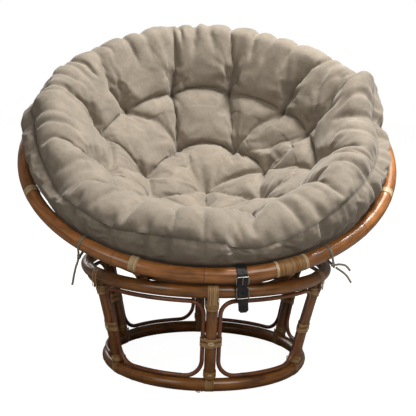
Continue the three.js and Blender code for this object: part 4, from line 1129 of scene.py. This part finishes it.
def filled(points, faces, held):
    """The cover blown up by its filling, with cloth simulation: what is sewn fast stays."""
    scene = bpy.context.scene
    mesh = new_mesh("cover", points, faces.tolist())
    cover = new_object("cover", mesh)
    group = cover.vertex_groups.new(name="sewn")
    for weight in np.unique(held[held > 0]):
        group.add(np.flatnonzero(held == weight).tolist(), float(weight), "REPLACE")
    cloth = cover.modifiers.new("Cloth", "CLOTH")
    settings = cloth.settings
    settings.quality = 5
    settings.mass = 0.3
    settings.tension_stiffness = settings.compression_stiffness = 12
    settings.shear_stiffness = 6
    settings.bending_stiffness = 0.25
    settings.use_pressure = True
    settings.uniform_pressure_force = 2.3
    settings.shrink_min = -0.07
    settings.vertex_group_mass = "sewn"
    settings.effector_weights.gravity = 0
    cloth.collision_settings.use_collision = False
    cloth.point_cache.frame_start, cloth.point_cache.frame_end = 1, FILL_STEPS + 4
    for step in range(1, FILL_STEPS + 1):
        scene.frame_set(step)
    seen = cover.evaluated_get(bpy.context.evaluated_depsgraph_get())
    moved = np.empty(len(points) * 3)
    seen.data.vertices.foreach_get("co", moved)
    bpy.data.objects.remove(cover)
    bpy.data.meshes.remove(mesh)
    scene.frame_set(1)
    shift = moved.reshape(-1, 3) - points
    far = np.linalg.norm(shift, axis=1, keepdims=True)
    if not np.isfinite(far).all():
        raise RuntimeError("the cushion's filling went wrong")
    return points + shift * np.minimum(1, FILL_REACH / np.maximum(far, 1e-9))


def wrinkled(points, faces, held, upper, sizes):
    """Fine wrinkles: round each tuft, and across the outer roll and the side band."""
    normal = vertex_normals(points, faces)
    x, y = points[:, 0], points[:, 1]
    far = np.hypot(x, y)
    turn = np.degrees(np.arctan2(y, x))
    rise = np.zeros(len(points))
    for i, place in enumerate(tuft_places().values()):
        dx, dy = x - place[0], y - place[1]
        distance = np.hypot(dx, dy)
        angle = np.arctan2(dy, dx)
        star = value_noise(angle * 3.2 + i * 7.1, distance / 0.12 + i, sizes.seed + 5)
        star += 0.6 * value_noise(angle * 6.5 + i * 3.7, distance / 0.06 + i, sizes.seed + 6)
        rise += star * np.clip(distance / 0.012, 0, 1) * np.exp(-(distance / 0.072) ** 2) * 2.2
    roll = smooth_step(far, 0.37, 0.44)
    across = value_noise(turn / 1.9, far / 0.09 + points[:, 2] / 0.1, sizes.seed + 8)
    across += 0.7 * value_noise(turn / 1.05, far / 0.05 + points[:, 2] / 0.06, sizes.seed + 9)
    patch = smooth_step(value_noise(turn / 14.0, far / 0.2, sizes.seed + 10), -0.5, 0.7)
    rise += across * roll * (0.25 + 0.75 * patch) * 1.3
    rise += 0.35 * value_noise(x / 0.03, y / 0.03, sizes.seed + 11)
    for fold, width, depth in BAND_FOLDS:
        near = np.exp(-(turn_between(turn + 90, fold) / width) ** 2)
        rise -= 0.7 * depth / sizes.wrinkle * near * smooth_step(far, 0.455, 0.485)
    rise[upper:] *= 0.4
    rise *= np.where(held > 0.97, 0.3, 1.0)
    return points + normal * (rise * sizes.wrinkle)[:, None]


def vertex_normals(points, faces):
    cross = np.cross(points[faces[:, 2]] - points[faces[:, 0]], points[faces[:, 3]] - points[faces[:, 1]])
    normal = np.zeros_like(points)
    for k in range(4):
        np.add.at(normal, faces[:, k], cross)
    return unit(normal)


class PAPASAN_OT_cushion(Operator):
    """Makes the tufted cushion: cuts its cover, fills it with cloth simulation and creases it."""
    bl_idname = "papasan.cushion"
    bl_label = "Cushion"

    def execute(self, context):
        sizes = context.scene.papasan_sizes
        points, faces, held, upper, seam, hollow = cushion_mesh(sizes)
        top = faces[(faces < upper).all(1)]
        points[:upper] = filled(points[:upper], top, held[:upper])
        points = wrinkled(points, faces, held, upper, sizes)
        mesh = new_mesh("cushion_cover", in_bowl(points), faces.tolist())
        # The painted shade of creases and seam goes to the finish as a point attribute.
        layer = mesh.attributes.new("hollow", "FLOAT", "POINT")
        layer.data.foreach_set("value", hollow.astype(np.float32))
        mesh.polygons.foreach_set("use_smooth", [True] * len(mesh.polygons))
        ends = np.empty(len(mesh.edges) * 2, int)
        mesh.edges.foreach_get("vertices", ends)
        sewn = np.isin(ends.reshape(-1, 2), seam).all(1)
        crease = mesh.attributes.new("crease_edge", "FLOAT", "EDGE")
        crease.data.foreach_set("value", sewn.astype(np.float32))
        mesh.attributes.new("sharp_edge", "BOOLEAN", "EDGE").data.foreach_set("value", sewn)
        mesh.materials.append(finish("Taupe microsuede"))
        piece = new_object("cushion_cover", mesh)
        smooth = piece.modifiers.new("Subdivision", "SUBSURF")
        smooth.levels = smooth.render_levels = 1
        plain(piece)
        fixed(piece, "bowl", "cushion", slot="suede")
        return {"FINISHED"}


# ---------------------------------------------------------------- strap and ties

STRAP_STEP = 0.0015  # between the points of the strap's line


def belt_radius(sizes):
    """From the middle of the rim's pole to the middle of the leather round it."""
    return sizes.rim_pole / 2 + BELT_GAP + sizes.leather / 2


def belt_layout(sizes):
    """The strap's line across the rim, and the buckle's two bars: x outward, y up, from the rim
    pole's middle."""
    inner, half = belt_radius(sizes), sizes.leather / 2
    eye = PRONG_WIRE + BUCKLE_WIRE / 2 + GAP
    heel = polar(inner + half + GAP + eye, HEEL_TURN)
    top = polar(inner + half + GAP + BUCKLE_WIRE / 2 + GAP, BAR_TURN)
    outer = inner + 2 * (half + GAP + eye)
    path = [polar(inner, HEEL_TURN - 10 - (350 - BAR_TURN + HEEL_TURN) * i / 40) for i in range(41)]
    path += [polar(inner + (outer - inner) * share ** 2, BAR_TURN + (HEEL_TURN - BAR_TURN) * share)
             for share in (1 / 3, 2 / 3, 1)]
    shares = ((0.5, 0.34), (0.448, 0.42), (0.41, 0.516), (0.386, 0.663), (0.394, 0.832), (0.4, 1))
    fall = [np.array([outer * x, -STRAP_TAIL * y]) for x, y in shares]
    return np.array(path), np.array(fall), heel, top


def fall_at(fall, drop):
    """The place on the strap's hanging end that lies this far below the rim pole's middle."""
    i = next(i for i in range(1, len(fall)) if -fall[i][1] > drop)
    return fall[i - 1] + (fall[i] - fall[i - 1]) * (drop + fall[i - 1][1]) / (fall[i - 1][1] - fall[i][1])


def strip_outline(end, across, count, cut):
    """A strip's edge, from its start round its end and back: places along it and across it."""
    half = across[-1]
    outline = [(0, v) for v in across] + [(u, half) for u in np.linspace(0, end - cut, count)[1:]]
    if cut:
        tip = [v for v in across[::-1] if abs(v) < half - cut - 1e-6]
        outline += [(end, v) for v in (half - cut, *tip, cut - half)]
    else:
        outline += [(end, v) for v in across[-2::-1]]
    return outline + [(u, -half) for u in np.linspace(end - cut, 0, count)[0 if cut else 1:-1]]


def leather_strip(name, path, width, thickness, place, holes=(), cut=0.0, closed=False):
    """A length of leather cut flat, with its holes, then bent along a path seen from the side. A
    hole is its middle's place along the strip, its length and its width."""
    path = smooth_path(path, STRAP_STEP, closed)
    if closed:
        path = np.vstack([path, path[:1]])
    length = path_length(path)
    end = length[-1]
    across = np.linspace(-width / 2, width / 2, 9)
    count = int(end / 0.002)
    loops = [strip_outline(end, across, count, cut)]
    for middle, long, wide in holes:
        reach = max(0, long - wide) / 2
        loops.append([(middle + math.copysign(reach, math.cos(t)) + wide / 2 * math.cos(t),
                       wide / 2 * math.sin(t)) for t in np.radians(np.arange(0, 360, 22.5))])
    inside = [(u, v) for u in np.linspace(0, end, count)[1:-1] for v in across[1:-1]
              if (not cut or u < end - cut)
              and all(abs(v) > w / 2 + 0.001 or abs(u - m) > max(l, w) / 2 + 0.001 for m, l, w in holes)]
    flat, edges = [], []
    for points in loops:
        first = len(flat)
        flat += points
        edges += [(first + i, first + (i + 1) % len(points)) for i in range(len(points))]
    flat += inside
    corners, _, faces, *_ = delaunay_2d_cdt([Vector(p) for p in flat], edges, [], 1, 1e-7)
    spots = np.array([tuple(c) for c in corners])
    middles = spots[np.array(faces)].mean(1)
    leather = np.ones(len(faces), bool)
    for m, l, w in holes:
        reach = max(0, l - w) / 2
        beside = middles[:, 0] - np.clip(middles[:, 0], m - reach, m + reach)
        leather &= np.hypot(beside, middles[:, 1]) > w / 2
    faces = [face for face, kept in zip(faces, leather) if kept]
    x, y = (np.interp(spots[:, 0], length, path[:, axis]) for axis in (0, 1))
    mesh = new_mesh(name, place(np.stack([x, y, spots[:, 1]], -1)), faces)
    piece = new_object(name, mesh)
    mesh.polygons.foreach_set("use_smooth", [True] * len(mesh.polygons))
    if closed:
        weld = piece.modifiers.new("Weld", "WELD")
        weld.merge_threshold = 0.0002
    solid = piece.modifiers.new("Thickness", "SOLIDIFY")
    solid.thickness, solid.offset = thickness, 0.0
    edge = piece.modifiers.new("Edges", "BEVEL")
    edge.width, edge.segments = thickness * 0.22, 2
    edge.limit_method, edge.angle_limit = "ANGLE", math.radians(50)
    plain(piece)
    facing_out(piece.data)
    piece.data.materials.append(finish("Black leather"))
    return piece


def facing_out(mesh):
    """Turns a closed mesh's faces outwards."""
    shape = bmesh.new()
    shape.from_mesh(mesh)
    bmesh.ops.recalc_face_normals(shape, faces=shape.faces)
    shape.to_mesh(mesh)
    shape.free()


def wire_loop(width, height, wire, middle, up):
    """A wire rectangle with round corners, drawn across the rim: x, y and z along the rim."""
    up = unit(up)
    corner = wire * 1.2
    points = []
    for i, (a, b) in enumerate(((1, 1), (-1, 1), (-1, -1), (1, -1))):
        for turn in np.radians(np.linspace(90 * i, 90 * i + 90, 7)):
            points.append((a * ((width - wire) / 2 - corner) + corner * math.cos(turn),
                           b * ((height - wire) / 2 - corner) + corner * math.sin(turn)))
    points = smooth_path(points, 0.003, True)
    return np.array([(*(middle + up * v), u) for u, v in points])


class PAPASAN_OT_strap(Operator):
    """Makes the leather strap with its buckle, prong and wire frame, and the loop on the base."""
    bl_idname = "papasan.strap"
    bl_label = "Strap and buckle"

    def execute(self, context):
        sizes = context.scene.papasan_sizes
        rim = RimPlace(STRAP_TURN)
        path, fall, heel, top = belt_layout(sizes)
        whole = np.vstack([path, fall])
        line = smooth_path(whole, STRAP_STEP)
        length, half = path_length(line), len(line) // 2

        def at(place):
            """How far along the strap a place on its outer half lies."""
            return length[half + np.argmin(np.linalg.norm(line - place, axis=1)[half:])]

        middle, up, tall = (heel + top) / 2, unit(top - heel), np.linalg.norm(top - heel)
        rounds = (polar(belt_radius(sizes), HOLE_TURN), fall_at(fall, STRAP_TAIL * HOLE_SHARE))
        holes = [(at(middle * 1.12 - 0.004 * up), SLOT_LENGTH, HOLE_WIDTH)]
        holes += [(at(place), HOLE_WIDTH, HOLE_WIDTH) for place in rounds]
        belt = leather_strip("leather_strap", whole, STRAP_WIDTH, sizes.leather, rim.place, holes,
                             cut=0.0055)
        fixed(belt, "strap", "strap_belt", slot="leather")

        nickel = finish("Nickel plate")
        lines = Lines(21)
        wire = wire_loop(BUCKLE_WIDTH, tall + BUCKLE_WIRE, BUCKLE_WIRE, middle, up)
        facing = rim.place([(*unit(middle), 0)])[0] - rim.origin
        lines.add(rim.place(wire), facing, closed=True)
        fixed(swept("buckle_wire", lines, nickel, BUCKLE_WIRE, sides=12), "strap", "strap_buckle",
              slot="nickel")

        lines = Lines(22)
        lift = np.array([sizes.leather / 2 + SOFT_GAP + FRAME_WIRE / 2, 0])
        high, low = fall_at(fall, 0.032) - lift, fall_at(fall, 0.058) + lift
        wire = wire_loop(BUCKLE_WIDTH, np.linalg.norm(high - low) + FRAME_WIRE, FRAME_WIRE,
                         (high + low) / 2, high - low)
        lines.add(rim.place(wire), rim.out, closed=True)
        fixed(swept("frame_wire", lines, nickel, FRAME_WIRE, sides=12), "strap", "strap_frame",
              slot="nickel")

        lines = Lines(23)
        out = np.array([up[1], -up[0]])
        rest = BUCKLE_WIRE / 2 + GAP + PRONG_WIRE / 2
        curl = [heel + rest * (math.cos(a) * out + math.sin(a) * up)
                for a in np.radians(np.linspace(-285, 0, 20))]
        shaft = [heel + rest * out + up * s for s in np.linspace(0.002, tall + BUCKLE_WIRE, 9)]
        points = np.array([(*p, 0) for p in curl + shaft])
        lines.add(rim.place(smooth_path(points, 0.0012)), rim.along, round_ends=0.001)
        fixed(swept("buckle_prong", lines, nickel, PRONG_WIRE, sides=10), "prong", "strap_prong",
              slot="nickel")

        self.base_loop(rim, sizes)
        return {"FINISHED"}

    def base_loop(self, rim, sizes):
        """The strap's loop round the base's top hoop, where the plane across the rim cuts it."""
        origin = rim.origin - (PIVOT[0], PIVOT[1], 0)
        reach = math.hypot(rim.along[0], rim.along[1])
        offset = (origin @ rim.along - TOP_HOOP[1] * rim.along[2]) / (TOP_HOOP[0] * reach)
        angle = math.atan2(rim.along[1], rim.along[0]) - math.acos(offset)
        out = np.array([math.cos(angle), math.sin(angle), 0])
        middle = out * TOP_HOOP[0] + (PIVOT[0], PIVOT[1], TOP_HOOP[1])
        path = polar(sizes.base_pole / 2 + SOFT_GAP + sizes.leather / 2, np.arange(0, 360, 12.0))
        piece = leather_strip("hoop_loop", path, STRAP_WIDTH, sizes.leather,
                              placer(middle, out, (0, 0, 1), (-out[1], out[0], 0)), closed=True)
        fixed(piece, "strap_loop", "strap_hoop_loop", slot="leather")


class PAPASAN_OT_ties(Operator):
    """Makes the tapes that tie the cushion to the rim, and their knots."""
    bl_idname = "papasan.ties"
    bl_label = "Cushion ties"

    def execute(self, context):
        sizes = context.scene.papasan_sizes
        tape = finish("Cotton tape")
        radius = sizes.rim_pole / 2 + SOFT_GAP + TAPE_THICKNESS / 2
        for name, (turn, knot_turn, _) in TIES.items():
            rim = RimPlace(turn)
            lines = Lines(31)
            open_turn = math.degrees(math.acos(radius / KNOT_DROP))
            arc = polar(radius, np.linspace(knot_turn + open_turn, knot_turn + 360 - open_turn, 60))
            knot_place = polar(KNOT_DROP, knot_turn)
            flat = np.vstack([arc, (arc[-1] + knot_place) / 2, knot_place, (arc[0] + knot_place) / 2])
            points = smooth_path(rim.place(np.column_stack([flat, np.zeros(len(flat))])), 0.003, True)
            inner = rim.origin + (points - rim.origin) * 0.5
            lines.add(points, unit(points - inner), closed=True)
            fixed(swept(f"tie_loop_{name}", lines, tape, sizes.tape_width, TAPE_THICKNESS, sides=12,
                        waviness=0.0004), "bowl", slot="tape")
            # The knot is a trefoil.
            lines = Lines(32)
            t = np.linspace(0, 2 * math.pi, 90, endpoint=False)
            across, high = np.sin(t) + 2 * np.sin(2 * t), np.cos(t) - 2 * np.cos(2 * t)
            shape = np.stack([across, high, -np.sin(3 * t)], -1) * 0.0017
            points = rim.place(np.column_stack([knot_place[0] + shape[:, 2] * 1.5,
                                                knot_place[1] + shape[:, 1], shape[:, 0]]))
            lines.add(points, unit(points - rim.place([(*knot_place, 0)])), closed=True)
            fixed(swept(f"tie_knot_{name}", lines, tape, 0.0056, 0.0036, sides=12, waviness=0.0004,
                        seed=7.0), "bowl", f"cushion_tie_{name}", slot="tape")
        return {"FINISHED"}


class PAPASAN_OT_cords(Operator):
    """Makes the ties' hanging tails as round cords, fixed to the bowl."""
    bl_idname = "papasan.cords"
    bl_label = "Tie tails"

    def execute(self, context):
        for name, (turn, knot_turn, tails) in TIES.items():
            rim = RimPlace(turn)
            knot_place = polar(KNOT_DROP, knot_turn)
            for i, tail in enumerate(tails):
                route = np.array(tail) / 1000 + (*knot_place, 0)
                points = rim.place(smooth_path(route, path_length(route)[-1] / 26))
                curve = bpy.data.curves.new(f"hanging_tail_{name}_{i + 1}", "CURVE")
                curve.dimensions = "3D"
                spline = curve.splines.new("POLY")
                spline.points.add(len(points) - 1)
                spline.points.foreach_set("co", np.column_stack([points, np.ones(len(points))]).ravel())
                curve.bevel_depth = TAIL_THICKNESS / 2
                curve.bevel_resolution = 3
                curve.use_fill_caps = True
                curve.materials.append(finish("Cotton tape"))
                spline.use_smooth = True
                piece = new_object(curve.name, curve)
                fixed(piece, "bowl", f"tie_tail_{name}_{i + 1}", slot="tape")
        return {"FINISHED"}


# ---------------------------------------------------------------- glides, camera and stage

# A glide's side, from its top down: radius and height. The first glide stands at GLIDE_TURN.
GLIDE_SIDE = ((0.0100, 0.0078), (0.0100, 0.0050), (0.0094, 0.0030), (0.0082, 0.0016), (0.0066, 0.0006),
              (0.0048, 0.0001), (0.0022, 0.0))
GLIDE_TURN, GLIDE_SIDES = -5.4, 24
# The camera's place from the pivot, its height, its tilt down and roll in radians, and its lens.
CAMERA_PLACE, CAMERA_HEIGHT = (0.00149, -2.62735), 0.85063
CAMERA_DOWN, CAMERA_ROLL, CAMERA_LENS = 0.15219, 0.025384, 80.83
LAMPS = (  # name, place, width, power and colour
    ("key", (0.95, -0.05, 3.0), 1.2, 150, (1.0, 1.0, 0.99)),
    ("fill", (-2.2, -2.8, 1.9), 1.6, 22, (1.0, 0.96, 0.9)),
    ("back", (-1.6, 2.7, 1.7), 1.6, 18, (1.0, 0.98, 0.95)),
    ("bounce", (1.1, -2.2, 2.1), 1.4, 27, (1.0, 0.97, 0.92)),
)
LAMP_AIM = Vector((0, 0, 0.5))
FLOOR_HALF = 12.0


class PAPASAN_OT_glides(Operator):
    """Makes the clear domed glides under the floor hoop."""
    bl_idname = "papasan.glides"
    bl_label = "Floor glides"

    def execute(self, context):
        shape = bmesh.new()
        turns = np.radians(np.arange(0, 360, 360 // GLIDE_SIDES))
        for i in range(4):
            middle = in_base(round_point(GLIDE_TURN + 90 * i, FLOOR_HOOP[0], 0))
            rings = []
            for radius, height in GLIDE_SIDE:
                ring = [middle + (radius * math.cos(t), radius * math.sin(t), height) for t in turns]
                rings.append([shape.verts.new(place) for place in ring])
            for above, below in zip(rings, rings[1:]):
                for k in range(GLIDE_SIDES):
                    n = (k + 1) % GLIDE_SIDES
                    shape.faces.new((above[n], above[k], below[k], below[n])).smooth = True
            shape.faces.new(rings[0])
            shape.faces.new(rings[-1][::-1])
        bmesh.ops.recalc_face_normals(shape, faces=shape.faces)
        mesh = bpy.data.meshes.new("clear_glides")
        shape.to_mesh(mesh)
        shape.free()
        mesh.materials.append(finish("Clear plastic"))
        fixed(new_object("clear_glides", mesh), "base", *numbered("glide", 4), slot="clear_plastic")
        return {"FINISHED"}


class PAPASAN_OT_camera(Operator):
    """Sets the camera where the photograph was taken."""
    bl_idname = "papasan.camera"
    bl_label = "Camera"

    def execute(self, context):
        data = bpy.data.cameras.new("camera")
        data.lens, data.sensor_width = CAMERA_LENS, 36.0
        camera = new_object("camera", data)
        context.scene.camera = camera
        ahead = Vector((0, math.cos(CAMERA_DOWN), -math.sin(CAMERA_DOWN)))
        right, up = Vector((1, 0, 0)), Vector((0, math.sin(CAMERA_DOWN), math.cos(CAMERA_DOWN)))
        side = right * math.cos(CAMERA_ROLL) + up * math.sin(CAMERA_ROLL)
        top = up * math.cos(CAMERA_ROLL) - right * math.sin(CAMERA_ROLL)
        place = Matrix((side, top, -ahead)).transposed().to_4x4()
        place.translation = (PIVOT[0] + CAMERA_PLACE[0], PIVOT[1] + CAMERA_PLACE[1], CAMERA_HEIGHT)
        camera.matrix_world = place
        return {"FINISHED"}


def seen_by_camera(tree):
    """1 where the camera looks, also through clear plastic, and 0 for the light on the chair."""
    ray = add_node(tree, "ShaderNodeLightPath").outputs
    return add_node(tree, "ShaderNodeMath", {0: ray["Is Camera Ray"], 1: ray["Is Transmission Ray"]},
                    operation="MAXIMUM")


class PAPASAN_OT_stage(Operator):
    """Makes the pale floor, the white surroundings and the soft lights."""
    bl_idname = "papasan.stage"
    bl_label = "Stage"

    def execute(self, context):
        scene = context.scene
        scene.view_settings.view_transform = "Standard"
        corners = [(x * FLOOR_HALF, y * FLOOR_HALF, 0) for x, y in ((-1, -1), (1, -1), (1, 1), (-1, 1))]
        floor = new_object("floor", new_mesh("floor", corners, [(0, 1, 2, 3)]))
        # Matt painted floor, which glows white to the camera and keeps a faint shadow.
        material = new_material("Painted floor")
        tree = material.node_tree
        shader = tree.nodes["Principled BSDF"]
        set_inputs(tree, shader, {"Base Color": (0.22, 0.21, 0.2, 1), "Roughness": 0.95,
                                  "Specular IOR Level": 0.0})
        glow = add_node(tree, "ShaderNodeEmission", {"Color": (1, 1, 1, 1), "Strength": 0.96})
        shown = add_node(tree, "ShaderNodeAddShader", {0: shader, 1: glow})
        mixed = add_node(tree, "ShaderNodeMixShader", {0: seen_by_camera(tree), 1: shader, 2: shown})
        set_inputs(tree, tree.nodes["Material Output"], {0: mixed})
        floor.data.materials.append(material)

        world = scene.world or bpy.data.worlds.new("surroundings")
        scene.world = world
        world.use_nodes = True
        tree = world.node_tree
        tree.nodes.clear()
        dim = add_node(tree, "ShaderNodeBackground", {"Color": (1.0, 0.95, 0.88, 1), "Strength": 0.16})
        white = add_node(tree, "ShaderNodeBackground", {"Color": (1, 1, 1, 1), "Strength": 1.0})
        mixed = add_node(tree, "ShaderNodeMixShader", {0: seen_by_camera(tree), 1: dim, 2: white})
        add_node(tree, "ShaderNodeOutputWorld", {0: mixed})

        for name, place, size, power, tint in LAMPS:
            lamp = bpy.data.lights.new(name, "AREA")
            lamp.shape, lamp.size, lamp.energy, lamp.color = "DISK", size, power, tint
            light = new_object(name, lamp)
            light.location = place
            aim = LAMP_AIM - Vector(place)
            light.rotation_euler = aim.to_track_quat("-Z", "Y").to_euler()
        return {"FINISHED"}


STEPS = (PAPASAN_OT_camera, PAPASAN_OT_cords, PAPASAN_OT_poles, PAPASAN_OT_wraps, PAPASAN_OT_cushion,
         PAPASAN_OT_strap, PAPASAN_OT_ties, PAPASAN_OT_glides, PAPASAN_OT_stage)


class PAPASAN_PT_panel(Panel):
    """Lists the chair's steps, sizes and finishes"""
    bl_idname = "PAPASAN_PT_panel"
    bl_label = "Papasan chair"
    bl_space_type = "VIEW_3D"
    bl_region_type = "UI"
    bl_category = "Papasan chair"

    def draw(self, context):
        for group in (context.scene.papasan_sizes, context.scene.papasan_finishes):
            for key in type(group).__annotations__:
                self.layout.prop(group, key)
        for step in STEPS:
            self.layout.operator(step.bl_idname)


CLASSES = (PapasanSizes, PapasanFinishes, *STEPS, PAPASAN_PT_panel)


def register():
    for item in CLASSES:
        bpy.utils.register_class(item)
    bpy.types.Scene.papasan_sizes = PointerProperty(type=PapasanSizes)
    bpy.types.Scene.papasan_finishes = PointerProperty(type=PapasanFinishes)


def unregister():
    del bpy.types.Scene.papasan_finishes, bpy.types.Scene.papasan_sizes
    for item in reversed(CLASSES):
        bpy.utils.unregister_class(item)


def main():
    register()
    for step in STEPS:
        getattr(bpy.ops.papasan, step.bl_idname.split(".")[1])()


if __name__ == "__main__":
    main()
